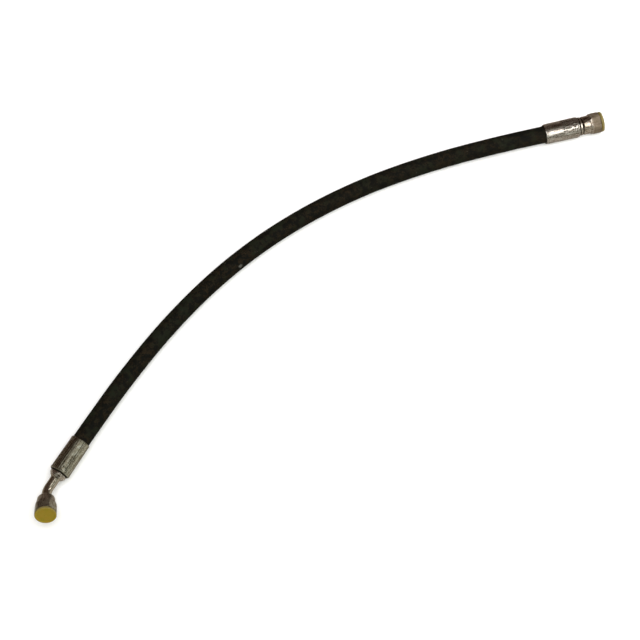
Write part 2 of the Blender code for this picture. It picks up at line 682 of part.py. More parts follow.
def place_ends():
    """The frames of the two fittings, and of the elbow's nose behind its bend."""

    def lying(mouth, height, heading, roll):
        # +Z of the frame points along the ferrule, and +X to the side that the elbow bends to
        upright = Euler((0, math.pi / 2, heading)).to_matrix().to_4x4()
        return Matrix.Translation((*mouth, height)) @ upright @ Matrix.Rotation(roll, 4, "Z")

    elbow_turn = math.pi / 2 + ELBOW_ROLL
    elbow_end = empty("elbow_end", matrix=lying(ELBOW_MOUTH, FERRULE_R, ELBOW_HEADING, elbow_turn))
    height = max(NUT_CORNER_R, FERRULE_R)
    straight_end = empty("straight_end", matrix=lying(STRAIGHT_MOUTH, height, STRAIGHT_HEADING, 0.0))
    bent = Matrix.Translation((0, 0, AXES_MEET)) @ Matrix.Rotation(ELBOW_ANGLE, 4, "Y")
    elbow_nose = empty("elbow_nose", elbow_end, bent)
    return elbow_end, straight_end, elbow_nose


def main():
    clear_scene()
    elbow_end, straight_end, elbow_nose = place_ends()
    make_hose(elbow_end, straight_end)
    make_ferrule("straight_ferrule", straight_end)
    make_straight_stem(straight_end)
    make_nut(
        "straight_swivel_nut",
        straight_end,
        STRAIGHT_NUT_START,
        STRAIGHT_NUT_TURN,
        STRAIGHT_NUT_TAPER,
        STRAIGHT_NUT_CORNER_DROP,
        True,
    )
    make_thrust_wire(straight_end)
    make_o_ring("straight_nose_o_ring", straight_end, STRAIGHT_NUT_START)
    make_plug("straight_end_plug", straight_end, STRAIGHT_NUT_START)
    make_ferrule("elbow_ferrule", elbow_end)
    make_elbow_stem(elbow_end)
    make_elbow_tube(elbow_end)
    make_tail_braze(elbow_end)
    make_nose_nipple(elbow_nose)
    make_nose_braze(elbow_nose)
    make_nut(
        "elbow_swivel_nut",
        elbow_nose,
        NOSE_LEG,
        ELBOW_NUT_TURN,
        ELBOW_NUT_TAPER,
        ELBOW_NUT_CORNER_DROP,
        False,
    )
    make_o_ring("elbow_nose_o_ring", elbow_nose, NOSE_LEG)
    make_plug("elbow_end_plug", elbow_nose, NOSE_LEG)


main()
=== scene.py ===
import math

import bmesh
import bpy
import numpy as np
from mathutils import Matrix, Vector


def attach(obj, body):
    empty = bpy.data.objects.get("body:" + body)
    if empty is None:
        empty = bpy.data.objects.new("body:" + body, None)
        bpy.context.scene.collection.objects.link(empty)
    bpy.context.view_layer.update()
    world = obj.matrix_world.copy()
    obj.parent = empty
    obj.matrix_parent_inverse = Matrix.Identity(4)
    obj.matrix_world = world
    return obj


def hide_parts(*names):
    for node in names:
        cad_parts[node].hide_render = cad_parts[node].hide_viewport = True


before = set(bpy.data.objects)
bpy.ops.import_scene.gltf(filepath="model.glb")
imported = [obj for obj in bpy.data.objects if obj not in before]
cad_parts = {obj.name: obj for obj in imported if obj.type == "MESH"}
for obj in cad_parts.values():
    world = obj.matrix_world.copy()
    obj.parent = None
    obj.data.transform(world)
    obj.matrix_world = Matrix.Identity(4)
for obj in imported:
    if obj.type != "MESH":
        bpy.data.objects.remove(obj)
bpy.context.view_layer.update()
print("hose assembly: frame loaded,", len(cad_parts), "nodes")

mm = 0.001
tiny = 0.000001  # points closer than this are one point

view = {
    "target": (-0.0107, -0.0066, 0.0),
    "elevation": 68.5,  # degrees above the floor
    "distance": 1.475,
    "fieldOfView": 21.1,  # degrees
}


# the camera stands back from the target by the distance, along the line that rises by the elevation
def makeCamera(v):
    tilt = math.radians(v["elevation"])
    back = Vector((0, -math.cos(tilt), math.sin(tilt)))
    data = bpy.data.cameras.new("camera")
    data.sensor_width = 36
    data.angle = math.radians(v["fieldOfView"])
    data.clip_start = 0.01
    data.clip_end = 50
    camera = bpy.data.objects.new("camera", data)
    camera.location = Vector(v["target"]) + back * v["distance"]
    camera.rotation_euler = (math.pi / 2 - tilt, 0, 0)
    bpy.context.scene.collection.objects.link(camera)
    bpy.context.scene.camera = camera


makeCamera(view)


# a node of a kind, with its settings given by name
def addNode(tree, kind, **settings):
    made = tree.nodes.new(kind)
    for key, value in settings.items():
        if key in made.inputs:
            made.inputs[key].default_value = value
        else:
            setattr(made, key, value)
    return made


# a Principled material to which a pattern is added
def newFinish(name, colour, metallic, roughness):
    mat = bpy.data.materials.new(name)
    mat.use_nodes = True
    tree = mat.node_tree
    shader = tree.nodes["Principled BSDF"]
    shader.inputs["Base Color"].default_value = (*colour, 1)
    shader.inputs["Metallic"].default_value = metallic
    shader.inputs["Roughness"].default_value = roughness
    return mat, tree, shader


# noise on a piece's own coordinates, stretched by three scales; low values are long features
def grain(tree, source, scale, detail=3.0):
    where = addNode(tree, "ShaderNodeMapping")
    where.inputs["Scale"].default_value = scale
    tree.links.new(source, where.inputs["Vector"])
    noise = addNode(tree, "ShaderNodeTexNoise", Scale=1.0, Detail=detail)
    tree.links.new(where.outputs["Vector"], noise.inputs["Vector"])
    return noise.outputs["Fac"]


# a value from one range to another
def spread(tree, source, low, high, to):
    made = addNode(tree, "ShaderNodeMapRange")
    made.inputs["From Min"].default_value = low
    made.inputs["From Max"].default_value = high
    made.inputs["To Min"].default_value = to[0]
    made.inputs["To Max"].default_value = to[1]
    tree.links.new(source, made.inputs["Value"])
    return made.outputs["Result"]


# a sum, a product or another operation on two sources or numbers
def combine(tree, operation, a, b):
    made = addNode(tree, "ShaderNodeMath", operation=operation)
    for k, source in enumerate((a, b)):
        if isinstance(source, (int, float)):
            made.inputs[k].default_value = source
        else:
            tree.links.new(source, made.inputs[k])
    return made.outputs["Value"]


# one colour blended to another by a source from 0 to 1
def blendColours(tree, share, first, second):
    mix = addNode(tree, "ShaderNodeMix", data_type="RGBA")
    for k, colour in ((6, first), (7, second)):
        if isinstance(colour, tuple):
            mix.inputs[k].default_value = (*colour, 1)
        else:
            tree.links.new(colour, mix.inputs[k])
    tree.links.new(share, mix.inputs[0])
    return mix.outputs[2]


# a height that shades as relief
def relief(tree, shader, height, strength, depth):
    bump = addNode(tree, "ShaderNodeBump", Strength=strength, Distance=depth)
    tree.links.new(height, bump.inputs["Height"])
    tree.links.new(bump.outputs["Normal"], shader.inputs["Normal"])


studio = {
    "floorSize": 14.0,
    "floorColour": (0.93, 0.935, 0.94),
    # the floor as light that is on its way to metal or rubber meets it: paler in front, darker behind
    "floorFront": (0.60, 0.575, 0.51),
    "floorBehind": (0.22, 0.175, 0.145),
    "floorChange": (-0.03, 0.07),  # from this far behind the middle to this far, in metres
    "glow": (0.07, 1.0),  # the paper's own light to the lens, near the object and far from it
    "glowChange": (0.45, 1.6),
    "lightSide": (0.52, 0.53, 0.45),  # what the metal mirrors towards the front right
    "darkSide": (0.125, 0.088, 0.066),  # and towards the back left
    "sideChange": (-0.40, 0.24),
    "seen": (1.0, 1.0, 1.0),
    "lights": {
        "keyPanel": {
            "place": (0.392, -0.05, 0.45),
            "turn": (0, 0, 21.5),  # in degrees, none is straight down
            "size": (0.15, 0.44),
            "power": 1.6,
            "colour": (1.0, 0.985, 0.98),
            "mirrored": True,  # whether metal shows the panel's own shape
        },
        "dimPanel": {
            "place": (0.37, -0.17, 1.5),
            "turn": (0, 0, 0),
            "size": (0.32, 0.32),
            "power": 0.95,
            "colour": (1.0, 1.0, 0.97),
            "mirrored": True,
        },
        "frontPanel": {
            "place": (0.7, -1.3, 0.9),
            "turn": (58.7, 0, 28.3),
            "size": (0.5, 0.5),
            "power": 2.0,
            "colour": (0.97, 1.0, 0.95),
            "mirrored": False,
        },
        "wideFill": {
            "place": (0.0, 0.0, 2.2),
            "turn": (0, 0, 0),
            "size": (3.0, 3.0),
            "power": 70,
            "colour": (1.0, 1.0, 1.0),
            "mirrored": False,
        },
    },
}


# a flat panel of light
def makePanel(name, p):
    data = bpy.data.lights.new(name, "AREA")
    data.shape = "RECTANGLE"
    data.size, data.size_y = p["size"]
    data.energy = p["power"]
    data.color = p["colour"]
    lamp = bpy.data.objects.new(name, data)
    lamp.location = p["place"]
    lamp.rotation_euler = [math.radians(d) for d in p["turn"]]
    lamp.visible_glossy = p["mirrored"]
    bpy.context.scene.collection.objects.link(lamp)


# how far a place or a direction lies behind the middle: -0.5 x + 0.8 y
def farBehind(tree, source):
    made = addNode(tree, "ShaderNodeVectorMath", operation="DOT_PRODUCT")
    made.inputs[1].default_value = (-0.5, 0.8, 0.0)
    tree.links.new(source, made.inputs[0])
    return made.outputs["Value"]


# the surroundings: plain to the lens, and to all else a colour that goes from one side's to the other's
def makeSurroundings(s):
    world = bpy.data.worlds.new("studio")
    bpy.context.scene.world = world
    world.use_nodes = True
    tree = world.node_tree
    tree.nodes.clear()
    direction = addNode(tree, "ShaderNodeTexCoord").outputs["Generated"]
    share = spread(tree, farBehind(tree, direction), *s["sideChange"], (0, 1))
    around = addNode(tree, "ShaderNodeBackground")
    tree.links.new(blendColours(tree, share, s["lightSide"], s["darkSide"]), around.inputs["Color"])
    plain = addNode(tree, "ShaderNodeBackground", Color=(*s["seen"], 1))
    toLens = addNode(tree, "ShaderNodeLightPath").outputs["Is Camera Ray"]
    mix = addNode(tree, "ShaderNodeMixShader")
    out = addNode(tree, "ShaderNodeOutputWorld")
    tree.links.new(toLens, mix.inputs["Fac"])
    tree.links.new(around.outputs["Background"], mix.inputs[1])
    tree.links.new(plain.outputs["Background"], mix.inputs[2])
    tree.links.new(mix.outputs["Shader"], out.inputs["Surface"])


# a pale square on the ground plane, with a faint grain in its roughness
def makeFloor(s):
    h = s["floorSize"] / 2
    mesh = bpy.data.meshes.new("floor")
    mesh.from_pydata([(-h, -h, 0), (h, -h, 0), (h, h, 0), (-h, h, 0)], [], [(0, 1, 2, 3)])
    mat, tree, shader = newFinish("floorPaper", s["floorColour"], 0.0, 0.9)
    shader.inputs["Specular IOR Level"].default_value = 0.1
    where = addNode(tree, "ShaderNodeTexCoord").outputs["Object"]
    toLens = addNode(tree, "ShaderNodeLightPath").outputs["Is Camera Ray"]
    share = spread(tree, farBehind(tree, where), *s["floorChange"], (0, 1))
    met = blendColours(tree, share, s["floorFront"], s["floorBehind"])
    tree.links.new(blendColours(tree, toLens, met, s["floorColour"]), shader.inputs["Base Color"])
    # the glow thins the shadow that the lens sees, and rises to plain white far away
    away = addNode(tree, "ShaderNodeVectorMath", operation="LENGTH")
    tree.links.new(where, away.inputs[0])
    glow = combine(tree, "MULTIPLY", toLens, spread(tree, away.outputs["Value"], *s["glowChange"], s["glow"]))
    shader.inputs["Emission Color"].default_value = (1, 1, 1, 1)
    tree.links.new(glow, shader.inputs["Emission Strength"])
    fibres = addNode(tree, "ShaderNodeTexNoise", Scale=90).outputs["Fac"]
    tree.links.new(spread(tree, fibres, 0, 1, (0.85, 0.95)), shader.inputs["Roughness"])
    mesh.materials.append(mat)
    floor = bpy.data.objects.new("floor", mesh)
    bpy.context.scene.collection.objects.link(floor)


makeFloor(studio)
makeSurroundings(studio)
for lightName, light in studio["lights"].items():
    makePanel(lightName, light)
bpy.context.scene.view_settings.view_transform = "Standard"
print("hose assembly: camera, floor and light made")


# rows by columns of points become quads; columns close round, and rows close too unless the ends are
# left open. Each point carries its place in the piece's own coordinates and a share of painted shade at
# joints and grooves, darker marks and rubbed wear.
def gridPiece(
    name, points, mat, body, node, local, closeRows=True, bevel=0.0, crease=32, shadeAndWear=None
):
    rows, cols = points.shape[:2]
    index = np.arange(rows * cols).reshape(rows, cols)
    here = index if closeRows else index[:-1]
    below = np.roll(index, -1, axis=0)[: len(here)]
    faces = np.stack([here, np.roll(here, -1, 1), np.roll(below, -1, 1), below], axis=-1).reshape(-1, 4)
    mesh = bpy.data.meshes.new(name)
    mesh.vertices.add(rows * cols)
    mesh.vertices.foreach_set("co", points.reshape(-1).astype(np.float32))
    mesh.loops.add(faces.size)
    mesh.loops.foreach_set("vertex_index", faces.reshape(-1).astype(np.int32))
    mesh.polygons.add(len(faces))
    mesh.polygons.foreach_set("loop_start", np.arange(0, faces.size, 4, dtype=np.int32))
    mesh.update()
    own = mesh.attributes.new("own", "FLOAT_VECTOR", "POINT")
    own.data.foreach_set("vector", local.reshape(-1).astype(np.float32))
    if shadeAndWear is not None:
        dark = mesh.attributes.new("shadeAndWear", "FLOAT", "POINT")
        dark.data.foreach_set("value", np.broadcast_to(shadeAndWear, (rows, cols)).reshape(-1).astype(np.float32))
    bm = bmesh.new()
    bm.from_mesh(mesh)
    bmesh.ops.remove_doubles(bm, verts=bm.verts, dist=tiny)
    bmesh.ops.dissolve_degenerate(bm, edges=bm.edges, dist=tiny / 2)
    bmesh.ops.recalc_face_normals(bm, faces=bm.faces)
    bm.to_mesh(mesh)
    bm.free()
    mesh.shade_smooth()
    mesh.set_sharp_from_angle(angle=math.radians(crease))
    mesh.materials.append(mat)
    piece = bpy.data.objects.new(name, mesh)
    bpy.context.scene.collection.objects.link(piece)
    if bevel:
        edge = piece.modifiers.new("edge", "BEVEL")
        edge.width = bevel
        edge.segments = 2
        edge.limit_method = "ANGLE"
        edge.angle_limit = math.radians(crease)
    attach(piece, body)
    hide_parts(node)
    return piece


# a fitting's own frame: an origin, and three directions of which the last is its axis
def fittingFrame(origin, heading, roll):
    axis = np.array([math.cos(heading), math.sin(heading), 0.0])
    level = np.array([-math.sin(heading), math.cos(heading), 0.0])
    up = np.array([0.0, 0.0, 1.0])
    side = math.cos(roll) * level + math.sin(roll) * up
    return {"origin": np.array(origin, float), "x": side, "y": np.cross(axis, side), "z": axis}


# own coordinates to the shared frame: origin + x, y and z times the three directions
def place(local, f):
    return f["origin"] + local[..., 0:1] * f["x"] + local[..., 1:2] * f["y"] + local[..., 2:3] * f["z"]


# a radius and a station for each row and angle become (r cos a, r sin a, s)
def around(radius, station, angle):
    radius, station, angle = np.broadcast_arrays(radius, station, angle)
    return np.stack([radius * np.cos(angle), radius * np.sin(angle), station], axis=-1)


# an outline of (radius, station) corners, with points added so that no step is longer than the given one
def refine(outline, step, closed=True):
    corners = np.array(outline, float)
    following = np.roll(corners, -1, axis=0)
    last = corners[-1:]
    if not closed:
        corners, following = corners[:-1], following[:-1]
    spans = np.linalg.norm(following - corners, axis=1)
    counts = np.maximum(1, np.ceil(spans / step)).astype(int)
    starts = np.repeat(corners, counts, axis=0)
    ends = np.repeat(following, counts, axis=0)
    order = np.arange(counts.sum()) - np.repeat(np.cumsum(counts) - counts, counts)
    share = (order / np.repeat(counts, counts))[:, None]
    found = starts + (ends - starts) * share
    return found if closed else np.vstack([found, last])


# a turned piece: the outline is carried round the axis, and one that starts and ends on the axis stays
# open there
def turnedPiece(
    name, outline, f, mat, body, node, slotName, segments=96, step=0.6, bevel=0.0, crease=32, paintedShadeAt=()
):
    closed = outline[0][0] > 0 or outline[-1][0] > 0
    profile = refine(outline, step, closed) * mm
    angle = 2 * np.pi * np.arange(segments) / segments
    local = around(profile[:, 0:1], profile[:, 1:2], angle[None, :])
    points = place(local, f)
    shadeAndWear = paintedShadeNear(profile[:, 1:2] / mm, paintedShadeAt)
    return gridPiece(name, points, mat, body, node, local, closed, bevel, crease, shadeAndWear)


# painted shade in bands at stations where parts meet:
# the sum of strength * exp(-((s - place) / width) squared)
def paintedShadeNear(s, places):
    found = 0.0 * s
    for where, width, strength in places:
        found = found + strength * np.exp(-(((s - where) / width) ** 2))
    return np.clip(found, 0, 1)


# a Catmull-Rom curve through all but the first and last of the points
def smoothCurve(points, perSpan):
    p = np.array(points, float)
    t = (np.arange(perSpan) / perSpan)[None, :, None]
    a, b, c, d = (p[k : len(p) - 3 + k, None, :] for k in range(4))
    spans = 0.5 * (2 * b + (c - a) * t + (2 * a - 5 * b + 4 * c - d) * t**2 + (3 * b - a - 3 * c + d) * t**3)
    return np.vstack([spans.reshape(-1, 3), p[-2:-1]])


# the same path with its points at an even spacing, by length
def evenPath(path, spacing):
    steps = np.linalg.norm(np.diff(path, axis=0), axis=1)
    length = np.concatenate([[0.0], np.cumsum(steps)])
    wanted = np.linspace(0, length[-1], max(2, round(length[-1] / spacing)) + 1)
    return np.stack([np.interp(wanted, length, path[:, k]) for k in range(3)], axis=1), wanted


# a tube's wall as a closed loop: out along the outside, round the end, and back along the bore
def tubeGrid(path, outerRadius, boreRadius, sides, up):
    ahead = np.gradient(path, axis=0)
    ahead /= np.linalg.norm(ahead, axis=1, keepdims=True)
    side = np.cross(ahead, up)
    side /= np.linalg.norm(side, axis=1, keepdims=True)
    top = np.cross(side, ahead)
    angle = 2 * np.pi * np.arange(sides) / sides
    ring = side[:, None, :] * np.sin(angle)[None, :, None] - top[:, None, :] * np.cos(angle)[None, :, None]
    outer = path[:, None, :] + ring * outerRadius
    bore = path[::-1, None, :] + ring[::-1] * boreRadius
    return np.concatenate([outer, bore], axis=0)


# the same tube pulled straight, as (station, r cos a, r sin a), for patterns that follow it
def straightened(stations, outerRadius, boreRadius, sides):
    angle = 2 * np.pi * np.arange(sides) / sides
    outer = around(outerRadius, stations[:, None], angle[None, :])
    bore = around(boreRadius, stations[::-1, None], angle[None, :])
    return np.concatenate([outer, bore], axis=0)[..., [2, 0, 1]]


plating = {
    "patchScale": 300,
    "pitScale": 1500,
    "shadeAndWearShare": 1.6,
    "shadeAndWearRoughness": 0.25,  # added where the painted shade and darker marks are thick
    "pitHeight": 0.4,  # against the tool marks' height
    "reliefDepth": 0.00012,
}


# plated steel: two tones in soft patches, tool marks along or round the piece, and fine pits. Stain lies
# where marks times pits is low, and the part of a piece beyond a station may be duller than the rest.
def platedSteel(name, m):
    mat, tree, shader = newFinish(name, m["colour"], 1.0, m["roughness"][0])
    own = addNode(tree, "ShaderNodeAttribute", attribute_name="own").outputs["Vector"]
    inSpace = addNode(tree, "ShaderNodeTexCoord").outputs["Object"]
    patches = spread(tree, grain(tree, inSpace, [plating["patchScale"]] * 3, 4.0), 0.40, 0.60, (0, 1))
    marks = grain(tree, own, m["marks"], 3.0)
    pits = grain(tree, inSpace, [plating["pitScale"]] * 3, 2.0)
    toned = blendColours(tree, patches, m["colour"], m["tone"])
    dirt = spread(tree, combine(tree, "MULTIPLY", marks, pits), 0.14, 0.30, (0, 1))
    cleaned = blendColours(tree, dirt, m["stain"], toned)
    rough = spread(tree, combine(tree, "ADD", marks, pits), 0.75, 1.25, m["roughness"])
    if "dull" in m:
        worn = m["dull"]
        parts = addNode(tree, "ShaderNodeSeparateXYZ")
        tree.links.new(own, parts.inputs[0])
        share = spread(tree, parts.outputs["Z"], *worn["span"], (0, 1))
        dulled = blendColours(tree, patches, worn["colour"], worn["tone"])
        dulled = blendColours(tree, dirt, worn["stain"], dulled)
        cleaned = blendColours(tree, share, cleaned, dulled)
        rough = combine(tree, "ADD", rough, combine(tree, "MULTIPLY", share, worn["roughness"]))
        tree.links.new(spread(tree, share, 0, 1, (1.0, worn["metal"])), shader.inputs["Metallic"])
    shadeAndWear = addNode(tree, "ShaderNodeAttribute", attribute_name="shadeAndWear").outputs["Fac"]
    # painted shade at joints and grooves, and darker marks, from the attribute; they thin out where the grain
    # is high
    laid = combine(tree, "MULTIPLY", shadeAndWear, plating["shadeAndWearShare"])
    thick = spread(tree, combine(tree, "SUBTRACT", laid, pits), -0.25, 0.75, (0, 1))
    tree.links.new(blendColours(tree, thick, cleaned, m["shadeAndWear"]), shader.inputs["Base Color"])
    rough = combine(tree, "ADD", rough, combine(tree, "MULTIPLY", thick, plating["shadeAndWearRoughness"]))
    tree.links.new(rough, shader.inputs["Roughness"])
    height = combine(tree, "ADD", marks, combine(tree, "MULTIPLY", pits, plating["pitHeight"]))
    relief(tree, shader, height, m["relief"], plating["reliefDepth"])
    return mat


# each finish's shadeAndWear colour is the dark colour of painted shade at joints and grooves, and of darker
# marks
steels = {
    "straightFerruleZinc": {
        "colour": (0.50, 0.48, 0.445),
        "tone": (0.36, 0.335, 0.30),
        "stain": (0.14, 0.112, 0.088),
        "shadeAndWear": (0.035, 0.034, 0.022),
        "roughness": (0.20, 0.40),
        "marks": (1100, 1100, 60),
        "relief": 0.70,
    },
    # a darker, greener copy of the straight ferrule's zinc: painted shade on the elbow's ferrule
    "elbowFerruleShadedZinc": {
        "colour": (0.44, 0.44, 0.375),
        "tone": (0.29, 0.27, 0.21),
        "stain": (0.11, 0.09, 0.062),
        "shadeAndWear": (0.030, 0.030, 0.018),
        "roughness": (0.20, 0.40),
        "marks": (1100, 1100, 60),
        "relief": 0.75,
    },
    "stemZinc": {
        "colour": (0.45, 0.415, 0.365),
        "tone": (0.34, 0.295, 0.245),
        "stain": (0.13, 0.095, 0.065),
        "shadeAndWear": (0.030, 0.026, 0.016),
        "roughness": (0.22, 0.38),
        "marks": (60, 60, 2200),
        "relief": 0.3,
    },
    # a paler copy of the stem's zinc: painted highlight on the elbow's collar
    "elbowStemLitZinc": {
        "colour": (0.56, 0.53, 0.50),
        "tone": (0.40, 0.355, 0.31),
        "stain": (0.16, 0.125, 0.095),
        "shadeAndWear": (0.035, 0.028, 0.020),
        "roughness": (0.20, 0.34),
        "marks": (500, 500, 900),
        "relief": 0.35,
    },
    "tubeZinc": {
        "colour": (0.47, 0.44, 0.385),
        "tone": (0.36, 0.32, 0.265),
        "stain": (0.21, 0.165, 0.12),
        "shadeAndWear": (0.030, 0.024, 0.016),
        "roughness": (0.17, 0.28),
        "marks": (60, 1500, 1500),
        "relief": 0.10,
    },
    "elbowNutZinc": {
        "colour": (0.46, 0.43, 0.375),
        "tone": (0.34, 0.30, 0.25),
        "stain": (0.15, 0.115, 0.085),
        "shadeAndWear": (0.040, 0.030, 0.020),
        "roughness": (0.26, 0.42),
        "marks": (700, 700, 160),
        "relief": 0.6,
        "dull": {
            "span": (0.0078, 0.0100),
            "colour": (0.40, 0.385, 0.31),
            "tone": (0.25, 0.225, 0.17),
            "stain": (0.13, 0.10, 0.07),
            "metal": 0.95,
            "roughness": 0.0,
        },
    },
    "straightNutZinc": {
        "colour": (0.44, 0.40, 0.35),
        "tone": (0.34, 0.30, 0.25),
        "stain": (0.15, 0.115, 0.085),
        "shadeAndWear": (0.040, 0.030, 0.020),
        "roughness": (0.24, 0.38),
        "marks": (700, 700, 160),
        "relief": 0.45,
        # the hexagon is duller than the skirt, from one station to the other
        "dull": {
            "span": (0.0078, 0.0098),
            "colour": (0.185, 0.145, 0.100),
            "tone": (0.135, 0.105, 0.072),
            "stain": (0.095, 0.068, 0.042),
            "metal": 0.35,
            "roughness": 0.32,  # added to the skirt's
        },
    },
    "springSteel": {
        "colour": (0.45, 0.45, 0.43),
        "tone": (0.36, 0.36, 0.34),
        "stain": (0.17, 0.15, 0.13),
        "shadeAndWear": (0.05, 0.04, 0.03),
        "roughness": (0.18, 0.3),
        "marks": (300, 300, 900),
        "relief": 0.15,
    },
    "brazeMetal": {
        "colour": (0.46, 0.42, 0.355),
        "tone": (0.36, 0.32, 0.26),
        "stain": (0.16, 0.125, 0.09),
        "shadeAndWear": (0.035, 0.028, 0.018),
        "roughness": (0.20, 0.36),
        "marks": (500, 500, 500),
        "relief": 0.4,
    },
}
finish = {name: platedSteel(name, m) for name, m in steels.items()}

coverLook = {
    "colour": (0.0036, 0.0037, 0.0028),
    "brown": (0.0150, 0.0108, 0.0060),
    "green": (0.0088, 0.0105, 0.0062),
    "scuff": (0.085, 0.085, 0.075),
    "weavePitch": 0.0011,
    "threadsRound": 43.0,
    "threadHeight": 0.5,  # against the grain's height
    "roughness": (0.55, 0.80),
    "shine": 0.05,
}


# cloth-wrapped rubber: two sets of thread prints that cross, dusty patches, and a few pale scuffs
def wrappedRubber(name, m):
    mat, tree, shader = newFinish(name, m["colour"], 0.0, m["roughness"][1])
    shader.inputs["Specular IOR Level"].default_value = m["shine"]
    own = addNode(tree, "ShaderNodeAttribute", attribute_name="own").outputs["Vector"]
    inSpace = addNode(tree, "ShaderNodeTexCoord").outputs["Object"]
    parts = addNode(tree, "ShaderNodeSeparateXYZ")
    tree.links.new(own, parts.inputs[0])
    angle = combine(tree, "ARCTAN2", parts.outputs["Z"], parts.outputs["Y"])
    # threads are the greater of sin(along + turn) and sin(along - turn)
    along = combine(tree, "MULTIPLY", parts.outputs["X"], 2 * math.pi / m["weavePitch"])
    turn = combine(tree, "MULTIPLY", angle, m["threadsRound"])
    warp = combine(tree, "SINE", combine(tree, "ADD", along, turn), 0.0)
    weft = combine(tree, "SINE", combine(tree, "SUBTRACT", along, turn), 0.0)
    threads = combine(tree, "MAXIMUM", warp, weft)
    dust = grain(tree, inSpace, (210, 210, 210), 5.0)
    cloud = grain(tree, inSpace, (60, 60, 60), 4.0)
    speckle = grain(tree, inSpace, (900, 900, 900), 3.0)
    browned = spread(tree, combine(tree, "MULTIPLY", dust, speckle), 0.22, 0.32, (0, 1))
    greened = spread(tree, combine(tree, "MULTIPLY", cloud, dust), 0.24, 0.34, (0, 1))
    colour = blendColours(tree, browned, m["colour"], m["brown"])
    colour = blendColours(tree, greened, colour, m["green"])
    streaks = grain(tree, own, (110, 260, 260), 4.0)
    scuffs = spread(tree, combine(tree, "MULTIPLY", streaks, speckle), 0.44, 0.50, (0, 0.8))
    colour = blendColours(tree, scuffs, colour, m["scuff"])
    rubbed = addNode(tree, "ShaderNodeAttribute", attribute_name="shadeAndWear").outputs["Fac"]
    # a rubbed spot is pale where the grain is high
    spot = spread(tree, combine(tree, "ADD", rubbed, speckle), 0.85, 1.25, (0, 1))
    colour = blendColours(tree, spot, colour, m["scuff"])
    tree.links.new(colour, shader.inputs["Base Color"])
    tree.links.new(spread(tree, dust, 0.35, 0.65, m["roughness"]), shader.inputs["Roughness"])
    height = combine(tree, "ADD", combine(tree, "MULTIPLY", threads, m["threadHeight"]), speckle)
    relief(tree, shader, height, 0.35, 0.00018)
    return mat


# plain moulded rubber with a fine grain
def smoothRubber(name, colour, roughness):
    mat, tree, shader = newFinish(name, colour, 0.0, roughness)
    inSpace = addNode(tree, "ShaderNodeTexCoord").outputs["Object"]
    fine = grain(tree, inSpace, (1400, 1400, 1400), 3.0)
    rough = spread(tree, fine, 0.3, 0.7, (roughness - 0.1, roughness + 0.1))
    tree.links.new(rough, shader.inputs["Roughness"])
    lighter = tuple(2.2 * c for c in colour)
    toned = blendColours(tree, spread(tree, fine, 0.4, 0.8, (0, 1)), colour, lighter)
    tree.links.new(toned, shader.inputs["Base Color"])
    relief(tree, shader, fine, 0.2, 0.0001)
    return mat


braidLook = {"wire": (0.56, 0.46, 0.30), "between": (0.06, 0.05, 0.035), "roughness": 0.35, "wires": 48.0}


# two sets of brass-coated wires that cross, as the greater of sin(wires * (station / radius + angle)) and
# the same with the angle taken off
def braidedWire(name, m, radius):
    mat, tree, shader = newFinish(name, m["wire"], 1.0, m["roughness"])
    own = addNode(tree, "ShaderNodeAttribute", attribute_name="own").outputs["Vector"]
    parts = addNode(tree, "ShaderNodeSeparateXYZ")
    tree.links.new(own, parts.inputs[0])
    angle = combine(tree, "ARCTAN2", parts.outputs["Z"], parts.outputs["Y"])
    along = combine(tree, "MULTIPLY", parts.outputs["X"], 1 / radius)
    waves = []
    for crossing in ("ADD", "SUBTRACT"):
        phase = combine(tree, "MULTIPLY", combine(tree, crossing, along, angle), m["wires"])
        waves.append(combine(tree, "SINE", phase, 0.0))
    wires = combine(tree, "MAXIMUM", *waves)
    toned = blendColours(tree, spread(tree, wires, -0.4, 0.9, (0, 1)), m["between"], m["wire"])
    tree.links.new(toned, shader.inputs["Base Color"])
    relief(tree, shader, wires, 0.6, 0.0001)
    return mat


plugLook = {
    "colour": (0.262, 0.172, 0.0090),
    "tone": (0.228, 0.172, 0.0060),
    # painted highlight: the paler ring inside the rim
    "rimHighlight": (0.30, 0.225, 0.030),
    "worn": (0.160, 0.128, 0.045),  # painted shade on the flange's side wall
    "roughness": (0.40, 0.55),
    "shine": 0.22,
    "glowThrough": 0.12,  # light that enters the plastic
    "glowReach": (0.0012, 0.0009, 0.0002),
}


